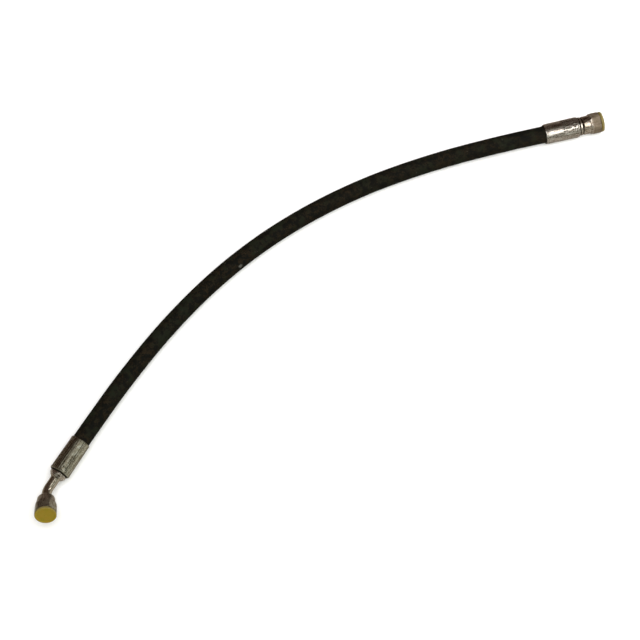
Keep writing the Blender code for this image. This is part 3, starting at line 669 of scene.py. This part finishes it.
# moulded plastic: slow flow tones, a painted highlight as a paler ring towards the rim, painted shade on the
# flange's side wall, and a fine orange-peel relief
def mouldedPlastic(name, m, rim):
    mat, tree, shader = newFinish(name, m["colour"], 0.0, m["roughness"][0])
    shader.inputs["Specular IOR Level"].default_value = m["shine"]
    shader.inputs["Subsurface Weight"].default_value = m["glowThrough"]
    shader.inputs["Subsurface Radius"].default_value = m["glowReach"]
    shader.inputs["Subsurface Scale"].default_value = 1.0
    own = addNode(tree, "ShaderNodeAttribute", attribute_name="own").outputs["Vector"]
    parts = addNode(tree, "ShaderNodeSeparateXYZ")
    tree.links.new(own, parts.inputs[0])
    flat = addNode(tree, "ShaderNodeCombineXYZ")
    tree.links.new(parts.outputs["X"], flat.inputs["X"])
    tree.links.new(parts.outputs["Y"], flat.inputs["Y"])
    away = addNode(tree, "ShaderNodeVectorMath", operation="LENGTH")
    tree.links.new(flat.outputs["Vector"], away.inputs[0])
    # painted highlight: a paler ring inside the rim
    edge = spread(tree, away.outputs["Value"], rim - 0.0016, rim - 0.0004, (0, 0.45))
    # painted shade on the flange's side wall, near the outer radius
    side = spread(tree, away.outputs["Value"], rim - 0.00035, rim - 0.00005, (0, 0.95))
    flow = grain(tree, own, (160, 160, 160), 3.0)
    peel = grain(tree, own, (1100, 1100, 1100), 2.0)
    toned = blendColours(tree, spread(tree, flow, 0.4, 0.6, (0, 1)), m["colour"], m["tone"])
    withRimHighlight = blendColours(tree, edge, toned, m["rimHighlight"])
    tree.links.new(blendColours(tree, side, withRimHighlight, m["worn"]), shader.inputs["Base Color"])
    tree.links.new(spread(tree, peel, 0.3, 0.7, m["roughness"]), shader.inputs["Roughness"])
    relief(tree, shader, combine(tree, "ADD", peel, flow), 0.18, 0.00012)
    return mat


finish["coverRubber"] = wrappedRubber("coverRubber", coverLook)
finish["liningRubber"] = smoothRubber("liningRubber", (0.012, 0.012, 0.013), 0.5)
finish["interlayerRubber"] = smoothRubber("interlayerRubber", (0.028, 0.026, 0.024), 0.7)
finish["sealRubber"] = smoothRubber("sealRubber", (0.010, 0.010, 0.010), 0.4)
finish["innerBraid"] = braidedWire("innerBraid", braidLook, 5.05 * mm)
finish["outerBraid"] = braidedWire("outerBraid", braidLook, 6.25 * mm)
finish["plugPlastic"] = mouldedPlastic("plugPlastic", plugLook, 9.0 * mm)
print("hose assembly: finishes made")

fittings = {
    "elbow": {"mouth": (-0.2092, -0.1183, 0.00895), "heading": -121.1, "roll": 41.3},
    "straight": {"mouth": (0.1887, 0.1672, 0.0093), "heading": 14.1, "roll": -90.0},
    "elbowAngle": 45.0,
    "axesMeet": 50.3,  # from the elbow ferrule's mouth, in mm
    "noseLeg": 8.0,  # from there to the nut's rear
    "straightNutStart": 34.7,  # from the straight ferrule's mouth
}


# a fitting's frame at its ferrule's mouth
def frameOf(which):
    v = fittings[which]
    return fittingFrame(v["mouth"], math.radians(v["heading"]), math.radians(v["roll"]))


# a frame further along the axis
def movedAlong(f, distance):
    return {**f, "origin": f["origin"] + f["z"] * distance}


# the elbow's nose: the frame at the bend's corner, turned about its y direction by the elbow's angle
def bentFrame(f):
    corner = movedAlong(f, fittings["axesMeet"] * mm)
    turn = math.radians(fittings["elbowAngle"])
    ahead = math.cos(turn) * f["z"] + math.sin(turn) * f["x"]
    side = math.cos(turn) * f["x"] - math.sin(turn) * f["z"]
    return {"origin": corner["origin"], "x": side, "y": f["y"], "z": ahead}


elbowFrame = frameOf("elbow")
straightFrame = frameOf("straight")
noseFrame = movedAlong(bentFrame(elbowFrame), fittings["noseLeg"] * mm)
straightNutFrame = movedAlong(straightFrame, fittings["straightNutStart"] * mm)

# the open stretch from the elbow's ferrule to the straight one: x, y and how high the underside is
hoseRoute = [
    (-0.1951, -0.0955, 0.0013),
    (-0.1809, -0.0728, 0.0007),
    (-0.1659, -0.0506, 0.0002),
    (-0.1502, -0.0290, 0.0001),
    (-0.1336, -0.0082, 0.0001),
    (-0.1159, 0.0119, 0.0001),
    (-0.0972, 0.0310, 0.0001),
    (-0.0773, 0.0490, 0.0001),
    (-0.0565, 0.0657, 0.0001),
    (-0.0346, 0.0811, 0.0001),
    (-0.0119, 0.0952, 0.0001),
    (0.0116, 0.1080, 0.0001),
    (0.0358, 0.1196, 0.0001),
    (0.0605, 0.1298, 0.0001),
    (0.0856, 0.1389, 0.0003),
    (0.1111, 0.1470, 0.0008),
    (0.1369, 0.1542, 0.0013),
    (0.1628, 0.1609, 0.0017),
]

hose = {
    "coverRadius": 7.5,
    "coverBore": 6.5,
    "coverDepth": 6.0,  # how far the cover runs into each ferrule
    "layerDepth": 25.9,  # and the layers under it
    "coverSpacing": 1.0,
    "coverSides": 72,
    "layerSpacing": 6.0,
    "layerSides": 32,
    "guide": 30.0,  # how far inside a ferrule the point lies that gives the line its direction at the mouth
    # rubbed spots: station in mm from the elbow's ferrule, degrees round from the top towards the inside of
    # the curve, size in mm and strength
    "rubbed": ((206.0, -60.0, 2.1, 1.0), (318.0, -35.0, 0.9, 0.45), (92.0, 20.0, 0.8, 0.4)),
}


# the centre line: a smooth curve from mouth to mouth, with a straight end inside each ferrule
def hosePath(depth, spacing):
    route = np.array(hoseRoute) + np.array([0, 0, hose["coverRadius"] * mm])
    ends = [f["origin"] for f in (elbowFrame, straightFrame)]
    guides = [movedAlong(f, hose["guide"] * mm)["origin"] for f in (elbowFrame, straightFrame)]
    line, stations = evenPath(smoothCurve([guides[0], ends[0], *route, ends[1], guides[1]], 24), spacing * mm)
    inside = [movedAlong(f, depth * mm)["origin"] for f in (elbowFrame, straightFrame)]
    stations = np.concatenate([[-depth * mm], stations, [stations[-1] + depth * mm]])
    return np.vstack([inside[0], line, inside[1]]), stations


# one layer of the hose as a tube's wall along the centre line
def hoseLayer(name, node, slotName, mat, outer, bore, depth, spacing, sides):
    path, stations = hosePath(depth, spacing)
    points = tubeGrid(path, outer * mm, bore * mm, sides, np.array([0, 0, 1.0]))
    local = straightened(stations, outer * mm, bore * mm, sides)
    # a spot is exp(-(distance / size) squared), with the distance measured along and round
    along = np.concatenate([stations, stations[::-1]])[:, None] / mm
    turn = np.degrees(2 * np.pi * np.arange(sides) / sides)[None, :] - 180
    rubbed = 0.0 * along * turn
    for station, degrees, size, strength in hose["rubbed"]:
        away = np.hypot(along - station, np.radians(turn - degrees) * outer)
        rubbed = rubbed + strength * np.exp(-((away / size) ** 2))
    return gridPiece(name, points, mat, "hose", node, local, shadeAndWear=rubbed), path, stations


# each inner layer's node, slot, finish, outer radius and bore radius
innerLayers = {
    "hoseLining": ("hose_inner_tube", "tube_rubber", "liningRubber", 4.35, 3.2),
    "hoseInnerBraid": ("inner_wire_braid", "braid_wire", "innerBraid", 5.05, 4.6),
    "hoseInterlayer": ("braid_interlayer", "tube_rubber", "interlayerRubber", 5.55, 5.3),
    "hoseOuterBraid": ("outer_wire_braid", "braid_wire", "outerBraid", 6.25, 5.8),
}
layerSizes = (hose["layerDepth"], hose["layerSpacing"], hose["layerSides"])
for layerName, (node, slotName, layerFinish, outer, bore) in innerLayers.items():
    made = hoseLayer(layerName, node, slotName, finish[layerFinish], outer, bore, *layerSizes)
cover, coverPath, coverStations = hoseLayer(
    "hoseCover", "hose_outer_cover", "cover_rubber", finish["coverRubber"],
    hose["coverRadius"], hose["coverBore"], hose["coverDepth"], hose["coverSpacing"], hose["coverSides"],
)
print("hose assembly: hose made,", round(float(coverStations[-1] - coverStations[0]), 4), "m long")

ferrule = {
    "length": 31.8,
    "mouthBore": 7.8,
    "mouthRadius": 8.65,
    "radius": 8.95,
    "taperEnd": 26.0,
    "endChamfer": 0.9,
    "mouthChamfer": 0.45,
    "mouthDepth": 6.3,
    "flangeWidth": 2.5,
    "flangeBore": 4.9,
    "toothRadius": 6.5,
    "toothDepth": 0.4,
    "teeth": 4,
    "toothStart": 1.7,  # from the mouth's step
    "toothPitch": 5.0,
    "toothCorners": (0.8, 1.6, 2.4),
    "fadeIn": (0.6, 2.4),  # the stations where the crimped shape comes in and goes out
    "fadeOut": (29.4, 30.6),
    "dies": 8,  # the crimping dies, each of which leaves a land between two ridges
    "ridge": 0.15,
    "ridgeWidth": 0.32,
    "land": 0.05,
    "dotDepth": 0.34,
    "dotSize": 0.62,
    "dotPitch": (2.0, 2.2),  # along and round
    "dotBand": (15.5, 29.0),
    # how much darker the stamped dots are
    "dotDarkening": 0.6,
    # painted shade in bands: at the mouth by the hose, at the end by the collar, and on a groove line near
    # the end
    "paintedShadeAt": ((0.0, 0.5, 0.8), (31.8, 0.35, 0.9), (30.2, 0.35, 0.35)),
    "segments": 256,
    "outsideStep": 0.27,
    "insideStep": 1.5,
}


# 0 before the low end, 1 after the high end, and a smooth S between them
def smoothStep(x, low, high):
    t = np.clip((x - low) / (high - low), 0, 1)
    return t * t * (3 - 2 * t)


# crimped sleeve: the outline's radius is reached at a ridge at each die's edge, and lies lower on the land
# between two ridges, and lower still in round stamped dots that stand on a lattice, some of them left out
def makeFerrule(name, node, f, mat, crimpTurn, swell, dotShare, ridgeShade):
    v = ferrule
    outside = refine(
        [
            (v["mouthBore"], 0),
            (v["mouthRadius"] - v["mouthChamfer"], 0),
            (v["mouthRadius"], v["mouthChamfer"]),
            (v["radius"], v["taperEnd"]),
            (v["radius"], v["length"] - v["endChamfer"]),
            (v["radius"] - v["endChamfer"], v["length"]),
            (v["flangeBore"], v["length"]),
        ],
        v["outsideStep"],
        closed=False,
    )
    rootRadius = v["toothRadius"] + v["toothDepth"]
    low, high, end = v["toothCorners"]
    teeth = []
    for k in reversed(range(v["teeth"])):
        start = v["mouthDepth"] + v["toothStart"] + v["toothPitch"] * k
        teeth += [(rootRadius, start + end), (v["toothRadius"], start + high)]
        teeth += [(v["toothRadius"], start + low), (rootRadius, start)]
    inside = refine(
        [
            (v["flangeBore"], v["length"]),
            (v["flangeBore"], v["length"] - v["flangeWidth"]),
            (rootRadius, v["length"] - v["flangeWidth"]),
            *teeth,
            (rootRadius, v["mouthDepth"]),
            (v["mouthBore"], v["mouthDepth"]),
            (v["mouthBore"], 0),
        ],
        v["insideStep"],
        closed=False,
    )
    profile = np.vstack([outside, inside[1:-1]])
    r, s = profile[:, 0:1], profile[:, 1:2]
    angle = (2 * np.pi * np.arange(v["segments"]) / v["segments"])[None, :]
    onOutside = (r > v["mouthRadius"] - 0.02) & (np.arange(len(profile))[:, None] < len(outside))
    fade = smoothStep(s, *v["fadeIn"]) * (1 - smoothStep(s, *v["fadeOut"])) * onOutside
    step = 2 * np.pi / v["dies"]
    fromRidge = (np.mod(angle - crimpTurn + step / 2, step) - step / 2) * v["radius"]
    crimp = v["ridge"] * np.exp(-((fromRidge / v["ridgeWidth"]) ** 2))
    crimp = crimp + v["land"] * np.cos(v["dies"] * (angle - crimpTurn))
    # the lattice cell that a point is in, and how far the point is from that cell's middle
    countAround = round(2 * math.pi * v["radius"] / v["dotPitch"][1])
    cellAround = np.floor(angle / (2 * np.pi) * countAround)
    cellAlong = np.floor(s / v["dotPitch"][0])
    offAround = (angle / (2 * np.pi) * countAround - cellAround - 0.5) * v["dotPitch"][1]
    offAlong = s - (cellAlong + 0.5) * v["dotPitch"][0]
    # a chance from 0 to 1 that is the same each time, from the cell's two numbers
    chance = np.mod(np.sin(cellAround * 12.9898 + cellAlong * 78.233 + crimpTurn) * 43758.5453, 1.0)
    inBand = (s > v["dotBand"][0]) & (s < v["dotBand"][1]) & onOutside
    dots = np.exp(-((offAround**2 + offAlong**2) / v["dotSize"] ** 2) ** 2) * (chance < dotShare) * inBand
    radius = r + (swell + crimp - v["ridge"] - v["land"]) * fade - dots * v["dotDepth"]
    local = around(radius * mm, s * mm, angle)
    # darker in the stamped dots, painted shade of a groove along one side of each ridge, and painted shade in
    # bands at the ends
    beside = np.exp(-(((fromRidge - 2.0 * v["ridgeWidth"]) / v["ridgeWidth"]) ** 2)) * fade
    shadeAndWear = np.clip(paintedShadeNear(s, v["paintedShadeAt"]) + ridgeShade * beside + v["dotDarkening"] * dots, 0, 1)
    return gridPiece(name, place(local, f), mat, "hose", node, local, crease=24, shadeAndWear=shadeAndWear)


makeFerrule(
    "straightFerrule", "straight_ferrule", straightFrame, finish["straightFerruleZinc"],
    crimpTurn=0.30, swell=0.36, dotShare=0.62, ridgeShade=0.35,
)
makeFerrule(
    "elbowFerrule", "elbow_ferrule", elbowFrame, finish["elbowFerruleShadedZinc"],
    crimpTurn=0.14, swell=0.0, dotShare=0.25, ridgeShade=0.95,
)
print("hose assembly: ferrules made")

tail = {
    "bore": 2.0,
    "tip": 3.0,
    "root": 2.5,
    "barb": 2.85,
    "barbs": 5,
    "barbStart": 0.9,
    "barbPitch": 4.6,
    "barbCorners": (1.4, 2.3, 2.65),
    "shoulder": 5.6,
    "shoulderSpan": (26.5, 29.0),
    "groove": 4.6,
    "collarStart": 32.1,
}


# the hose tail's outside from its tip to the collar: barbs, a shoulder, and the groove under the flange
def tailOutline():
    v = tail
    found = [(v["bore"], v["tip"]), (v["root"], v["tip"])]
    top, drop, end = v["barbCorners"]
    for k in range(v["barbs"]):
        start = v["tip"] + v["barbStart"] + v["barbPitch"] * k
        found += [(v["root"], start), (v["barb"], start + top)]
        found += [(v["barb"], start + drop), (v["root"], start + end)]
    low, high = v["shoulderSpan"]
    found += [(v["root"], low), (v["shoulder"], low), (v["shoulder"], high), (v["groove"], high)]
    return found + [(v["groove"], v["collarStart"])]


nose = {
    "shoulder": 5.9,
    "seatEnd": 5.624,  # in mm from the nut's rear, as are the next ones
    "shoulderFront": 6.424,
    "coneStart": 6.724,
    "coneRadius": 5.0,
    "halfAngle": 12.0,
    "coneEnd": 11.124,
    "ringPlace": 8.274,
    "ringCord": 0.45,
    "ringProud": 0.4,
    "gap": 0.3,
    "bore": 2.0,
}


# the cone's radius falls from its start by the tangent of its half angle
def coneRadius(station):
    return nose["coneRadius"] - (station - nose["coneStart"]) * math.tan(math.radians(nose["halfAngle"]))


# the sealing nose from the end of its 45 degree seat to its tip, shifted along the axis
def noseOutline(shift):
    v = nose
    slotRadius = coneRadius(v["ringPlace"]) + v["ringProud"] - 2 * v["ringCord"] - v["gap"]
    low, high = v["ringPlace"] - v["ringCord"] - v["gap"], v["ringPlace"] + v["ringCord"] + v["gap"]
    tip = coneRadius(v["coneEnd"])
    found = [
        (v["shoulder"], v["seatEnd"]),
        (v["shoulder"], v["shoulderFront"]),
        (v["coneRadius"], v["coneStart"]),
        (coneRadius(low), low),
        (slotRadius, low),
        (slotRadius, high),
        (coneRadius(high), high),
        (tip, v["coneEnd"]),
        (tip - v["gap"], v["coneEnd"] + v["gap"]),
    ]
    return [(r, s + shift) for r, s in found]


straightStem = {
    "collar": 8.1,
    "collarEnd": 34.4,
    "chamfer": 0.4,
    "neck": 4.0,
    "slot": (3.43, 1.18, 2.62),  # the thrust wire's groove: radius, and two stations from the nut's rear
    "seatStart": 3.724,
    "bevel": 0.00012,
    # painted shade in bands where the collar meets the ferrule's end and the nut's rear
    "paintedShadeAt": ((32.1, 0.45, 1.0), (34.4, 0.4, 1.0)),
}


# tail, collar, neck with its groove, and nose, turned in one piece
def makeStraightStem():
    v = straightStem
    shift = fittings["straightNutStart"]
    start, end, c = tail["collarStart"], v["collarEnd"], v["chamfer"]
    slotRadius, slotLow, slotHigh = v["slot"]
    outline = tailOutline() + [
        (v["collar"] - c, start),
        (v["collar"], start + c),
        (v["collar"], end - c),
        (v["collar"] - c, end),
        (v["neck"], end),
        (v["neck"], shift + slotLow),
        (slotRadius, shift + slotLow),
        (slotRadius, shift + slotHigh),
        (v["neck"], shift + slotHigh),
        (v["neck"], shift + v["seatStart"]),
    ]
    outline += noseOutline(shift) + [(nose["bore"], shift + nose["coneEnd"] + nose["gap"])]
    turnedPiece(
        "straightStem", outline, straightFrame, finish["stemZinc"], "hose", "straight_stem", "stem_zinc",
        bevel=v["bevel"], paintedShadeAt=v["paintedShadeAt"],
    )


makeStraightStem()

elbowStem = {
    "collar": 7.1,
    "collarWidth": 2.2,
    "coneLength": 2.2,
    "chamfer": 0.4,
    "socket": 4.3,
    "lip": 5.3,
    "socketDepth": 3.0,
    "bevel": 0.00015,
    # painted shade in a band where the collar meets the ferrule's end
    "paintedShadeAt": ((32.1, 0.5, 1.0),),
}


# tail, collar and a cone down to the lip of the tube's socket
def makeElbowStem():
    v = elbowStem
    start, c = tail["collarStart"], v["chamfer"]
    mouth = start + v["collarWidth"] + v["coneLength"]
    outline = tailOutline() + [
        (v["collar"] - c, start),
        (v["collar"], start + c),
        (v["collar"], start + v["collarWidth"]),
        (v["lip"], mouth),
        (v["socket"], mouth),
        (v["socket"], mouth - v["socketDepth"]),
        (tail["bore"], mouth - v["socketDepth"]),
    ]
    turnedPiece(
        "elbowStem", outline, elbowFrame, finish["elbowStemLitZinc"], "hose", "elbow_stem", "stem_zinc",
        bevel=v["bevel"], paintedShadeAt=v["paintedShadeAt"],
    )


makeElbowStem()

bentTube = {
    "radius": 4.0,
    "wall": 1.0,
    "bend": 12.0,
    "start": 33.8,
    "end": 3.45,
    "sides": 64,
    "bendSteps": 24,
    "legSteps": (12, 10),
}


# a straight leg, an arc whose centre line has the bend's radius, and a second straight leg
def makeBentTube():
    v = bentTube
    turn = math.radians(fittings["elbowAngle"])
    corner = fittings["axesMeet"]
    bendStart = corner - v["bend"] * math.tan(turn / 2)
    first = np.linspace(v["start"], bendStart, v["legSteps"][0])[:-1]
    a = np.linspace(0, turn, v["bendSteps"])
    last = np.linspace(v["bend"] * math.tan(turn / 2), fittings["noseLeg"] + v["end"], v["legSteps"][1])[1:]
    sideways = np.concatenate([0 * first, v["bend"] * (1 - np.cos(a)), last * math.sin(turn)])
    ahead = np.concatenate([first, bendStart + v["bend"] * np.sin(a), corner + last * math.cos(turn)])
    path = place(np.stack([sideways, 0 * ahead, ahead], axis=1) * mm, elbowFrame)
    points = tubeGrid(path, v["radius"] * mm, (v["radius"] - v["wall"]) * mm, v["sides"], elbowFrame["y"])
    stations = np.concatenate([[0.0], np.cumsum(np.linalg.norm(np.diff(path, axis=0), axis=1))])
    local = straightened(stations, v["radius"] * mm, (v["radius"] - v["wall"]) * mm, v["sides"])
    gridPiece("elbowTube", points, finish["tubeZinc"], "hose", "elbow_tube", local)


makeBentTube()

braze = {
    "bore": 3.98,
    "start": 36.4,
    "reach": 1.7,
    "height": 1.28,
    "skin": 0.03,  # how thick the fillet still is where it ends
    "noseSpan": (3.4, 4.65),
    "noseRadius": 4.05,
    "noseSwell": 0.08,
    "noseBore": 3.0,
    "segments": 72,
    "step": 0.3,
    "crease": 60,
}


# a fillet whose height falls from the collar's lip to the tube as the square of what is left of its reach
def makeBrazes():
    v = braze
    shared = (v["segments"], v["step"])
    left = [float(t) for t in np.linspace(1, 0, 10)]
    outline = [(v["bore"], v["start"])]
    outline += [(v["bore"] + v["height"] * t**2 + v["skin"], v["start"] + v["reach"] * (1 - t)) for t in left]
    outline += [(v["bore"], v["start"] + v["reach"] + 0.05)]
    turnedPiece(
        "tailBraze", outline, elbowFrame, finish["brazeMetal"], "hose", "elbow_tail_braze_ring", "braze",
        *shared, crease=v["crease"],
    )
    low, high = v["noseSpan"]
    ring = [
        (v["noseBore"], low),
        (v["noseRadius"], low),
        (v["noseRadius"] + v["noseSwell"], (low + high) / 2),
        (v["noseRadius"], high),
        (v["noseBore"], high),
    ]
    turnedPiece(
        "noseBraze", ring, noseFrame, finish["brazeMetal"], "hose", "elbow_nose_braze_ring", "braze",
        *shared, crease=v["crease"],
    )


makeBrazes()

nipple = {"face": 4.6, "faceRadius": 4.876, "spigot": 2.7, "spigotStart": 0.45, "bevel": 0.00012}


# a spigot in the tube's end, and the same nose as the straight stem's
def makeNipple():
    v = nipple
    outline = [
        (nose["bore"], v["spigotStart"]),
        (v["spigot"], v["spigotStart"]),
        (v["spigot"], v["face"]),
        (v["faceRadius"], v["face"]),
    ]
    outline += noseOutline(0.0) + [(nose["bore"], nose["coneEnd"] + nose["gap"])]
    turnedPiece(
        "elbowNipple", outline, noseFrame, finish["stemZinc"], "hose", "elbow_nose_nipple", "stem_zinc",
        bevel=v["bevel"],
    )


makeNipple()
print("hose assembly: stems, tube and nose made")


# a torus: a small circle carried round the axis
def makeSeal(name, node, f):
    turn = np.linspace(0, 2 * np.pi, 20, endpoint=False)
    cord = nose["ringCord"]
    middle = coneRadius(nose["ringPlace"]) + nose["ringProud"] - cord
    circle = np.stack([middle + cord * np.cos(turn), nose["ringPlace"] + cord * np.sin(turn)], axis=1)
    rubber = finish["sealRubber"]
    turnedPiece(name, circle.tolist(), f, rubber, "hose", node, "seal_rubber", 80, 1.0, crease=60)


makeSeal("straightSeal", "straight_nose_o_ring", straightNutFrame)
makeSeal("elbowSeal", "elbow_nose_o_ring", noseFrame)

thrustWire = {"radius": 4.15, "wire": 0.42, "place": 1.9, "split": 24.0, "steps": 72, "sides": 16}


# a small circle carried round all but the split, with a closed point at each end
def makeThrustWire():
    v = thrustWire
    gap = math.radians(v["split"])
    turn = np.linspace(gap / 2, 2 * np.pi - gap / 2, v["steps"])[:, None]
    size = np.full((v["steps"], 1), v["wire"])
    turn = np.vstack([turn[:1], turn, turn[-1:]])
    size = np.vstack([[[0.0]], size, [[0.0]]])
    small = (2 * np.pi * np.arange(v["sides"]) / v["sides"])[None, :]
    local = around((v["radius"] + size * np.cos(small)) * mm, (v["place"] + size * np.sin(small)) * mm, turn)
    points = place(local, straightNutFrame)
    gridPiece(
        "thrustWire", points, finish["springSteel"], "hose", "straight_thrust_wire", local,
        closeRows=False, crease=50,
    )


makeThrustWire()

nut = {
    "length": 16.6,
    "bore": 4.3,
    "rearWall": 3.6,
    "thread": 6.2,
    "threadDepth": 0.75,
    "threadPitch": 1.5,
    "threadSharpness": 0.75,
    "threadRows": 92,
    "flat": 8.5,  # half of the width across flats
    "corner": 9.3,  # the radius that the corners are turned off to
    "hexLength": 9.0,
    "cornerRun": 2.7,
    "skirt": 8.1,
    "rounding": 1.62,
    "faceRadius": 6.3,
    "frontChamfer": 0.5,
    "mouthChamfer": 0.7,
    # painted shade in bands at both ends, where the nut meets the stem's collar and the plug
    "paintedShadeAt": ((0.0, 0.6, 0.9), (16.6, 0.4, 0.8)),
    "edgeDarkening": (0.45, 0.4),  # strength and width in mm of a darker band along the hexagon's rear edge
    "segments": 216,
}


# swivel nut: at each angle the hexagon's side is at flat / cos(angle from the side's middle), at most the
# corner radius. Rows follow the curved line where the turned cone meets the side, so that the line stays
# crisp. The thread's radius is a clipped wave of (station / pitch - angle / full turn).
def makeNut(name, node, body, f, mat, turn, taper, cornerDrop, wireSlot):
    v = nut
    length, hexStart = v["length"], v["length"] - v["hexLength"]
    rear = v["skirt"] - taper
    lowCorner = v["corner"] - cornerDrop
    coneStart = hexStart - (lowCorner - v["skirt"])
    angle = 2 * np.pi * np.arange(v["segments"]) / v["segments"]
    third = np.pi / 3
    fromMiddle = np.mod(angle - turn + third / 2, third) - third / 2
    side = np.minimum(v["flat"] / np.cos(fromMiddle), v["corner"])
    riseStations = [coneStart, hexStart, hexStart + v["cornerRun"]]
    riseRadii = [v["skirt"], lowCorner, v["corner"]]
    sideStart = np.interp(side, riseRadii, riseStations)
    sideEnd = np.interp(side, [v["flat"], v["corner"]], [length, length - v["frontChamfer"]])

    radii, stations = [], []

    # a row of radius and station, each the same at every angle unless it is an array
    def row(radius, station):
        radii.append(np.broadcast_to(radius, angle.shape))
        stations.append(np.broadcast_to(station, angle.shape))

    row(v["bore"], 0.0)
    row((v["bore"] + v["faceRadius"]) / 2, 0.0)
    for a in np.linspace(0, np.pi / 2, 9):
        row(v["faceRadius"] + (rear - v["faceRadius"]) * math.sin(a), v["rounding"] * (1 - math.cos(a)))
    for t in np.linspace(0, 1, 8)[1:]:
        row(rear + (v["skirt"] - rear) * t, v["rounding"] + (coneStart - v["rounding"]) * t)
    for t in np.linspace(0, 1, 6)[1:]:
        station = coneStart + (sideStart - coneStart) * t
        row(np.interp(station, riseStations, riseRadii), station)
    for t in np.linspace(0, 1, 14)[1:]:
        row(side, sideStart + (sideEnd - sideStart) * t)
    for t in (0.5, 1.0):
        station = sideEnd + (length - sideEnd) * t
        row(np.interp(station, [length - v["frontChamfer"], length], [v["corner"], v["flat"]]), station)
    mouth = v["thread"] + v["mouthChamfer"]
    row((v["flat"] + mouth) / 2, length)
    row(mouth, length)
    threadEnd = v["rearWall"] + v["thread"] - v["bore"]
    for station in np.linspace(length - 0.05, threadEnd, v["threadRows"]):
        phase = 2 * np.pi * (station / v["threadPitch"]) - angle
        wave = np.clip(0.5 + v["threadSharpness"] * np.sin(phase), 0, 1)
        chamfer = max(0.0, station - (length - v["mouthChamfer"]))
        depth = v["threadDepth"] * float(smoothStep(station, threadEnd + 0.1, threadEnd + 1.6))
        row(v["thread"] + np.maximum(depth * wave, chamfer), station)
    row(v["bore"], v["rearWall"])
    if wireSlot:
        slotRadius, low, high = wireSlot
        for radius, station in ((v["bore"], high), (slotRadius, high), (slotRadius, low), (v["bore"], low)):
            row(radius, station)
    radii, stations = np.array(radii), np.array(stations)
    local = around(radii * mm, stations * mm, angle[None, :])
    strength, width = v["edgeDarkening"]
    # painted shade at both ends, and a darker band along the hexagon's rear edge
    shadeAndWear = paintedShadeNear(stations, v["paintedShadeAt"]) + strength * np.exp(-(((stations - sideStart) / width) ** 2))
    shadeAndWear = np.clip(shadeAndWear, 0, 1)
    return gridPiece(name, place(local, f), mat, body, node, local, crease=19, shadeAndWear=shadeAndWear)


makeNut(
    "straightNut", "straight_swivel_nut", "straight_nut", straightNutFrame, finish["straightNutZinc"],
    turn=math.radians(17.5), taper=0.0, cornerDrop=0.3, wireSlot=(4.87, 1.18, 2.62),
)
makeNut(
    "elbowNut", "elbow_swivel_nut", "elbow_nut", noseFrame, finish["elbowNutZinc"],
    turn=math.radians(8), taper=0.7, cornerDrop=0.5, wireSlot=None,
)
print("hose assembly: nuts made")

plug = {
    "start": 16.9,
    "flange": 2.2,
    "flangeRadius": 9.0,
    "edge": 0.5,
    "rimWidth": 1.2,
    "recess": 0.35,
    "head": 1.3,
    "shank": 5.9,
    "shankWall": 0.9,
    "shankTaper": 0.25,
    "shankEnd": 9.824,
    "gate": 0.8,  # the small moulding mark in the middle of the face
    "gateHeight": 0.12,
}


# a quarter circle of (radius, station) points from one turn to another, in degrees
def arc(middle, radius, first, last, count):
    turn = np.radians(np.linspace(first, last, count))
    return [(float(middle[0] + radius * np.cos(t)), float(middle[1] + radius * np.sin(t))) for t in turn]


# a flange with a sunken face and a rounded edge, and a hollow shank that goes into the nut
def makePlug(name, node, body, f):
    v = plug
    face = v["start"] + v["flange"]
    floor = face - v["recess"]
    rim = v["flangeRadius"] - v["rimWidth"]
    hollow = v["shank"] - v["shankWall"]
    edge = v["edge"]
    outline = [(0.0, floor + v["gateHeight"]), (v["gate"] * 0.6, floor + v["gateHeight"]), (v["gate"], floor)]
    outline += [(rim - v["recess"] - 0.15, floor), (rim - v["recess"] * 0.5, floor + v["recess"] * 0.35)]
    outline += [(rim - 0.06, face - 0.06), (rim + 0.1, face)]
    outline += arc((v["flangeRadius"] - edge, face - edge), edge, 90, 0, 6)
    outline += arc((v["flangeRadius"] - edge * 0.6, v["start"] + edge * 0.6), edge * 0.6, 0, -90, 4)
    outline += [(v["shank"] + 0.2, v["start"]), (v["shank"], v["start"] - 0.2)]
    tip = v["shank"] - v["shankTaper"]
    outline += [(tip, v["shankEnd"] + 0.25), (tip - 0.2, v["shankEnd"])]
    outline += [(hollow - v["shankTaper"], v["shankEnd"])]
    outline += [(hollow, floor - v["head"]), (0.0, floor - v["head"])]
    turnedPiece(name, outline, f, finish["plugPlastic"], body, node, "plug_plastic", 120, 0.8, crease=40)


makePlug("straightPlug", "straight_end_plug", "straight_plug", straightNutFrame)
makePlug("elbowPlug", "elbow_end_plug", "elbow_plug", noseFrame)
print("hose assembly: plugs made")
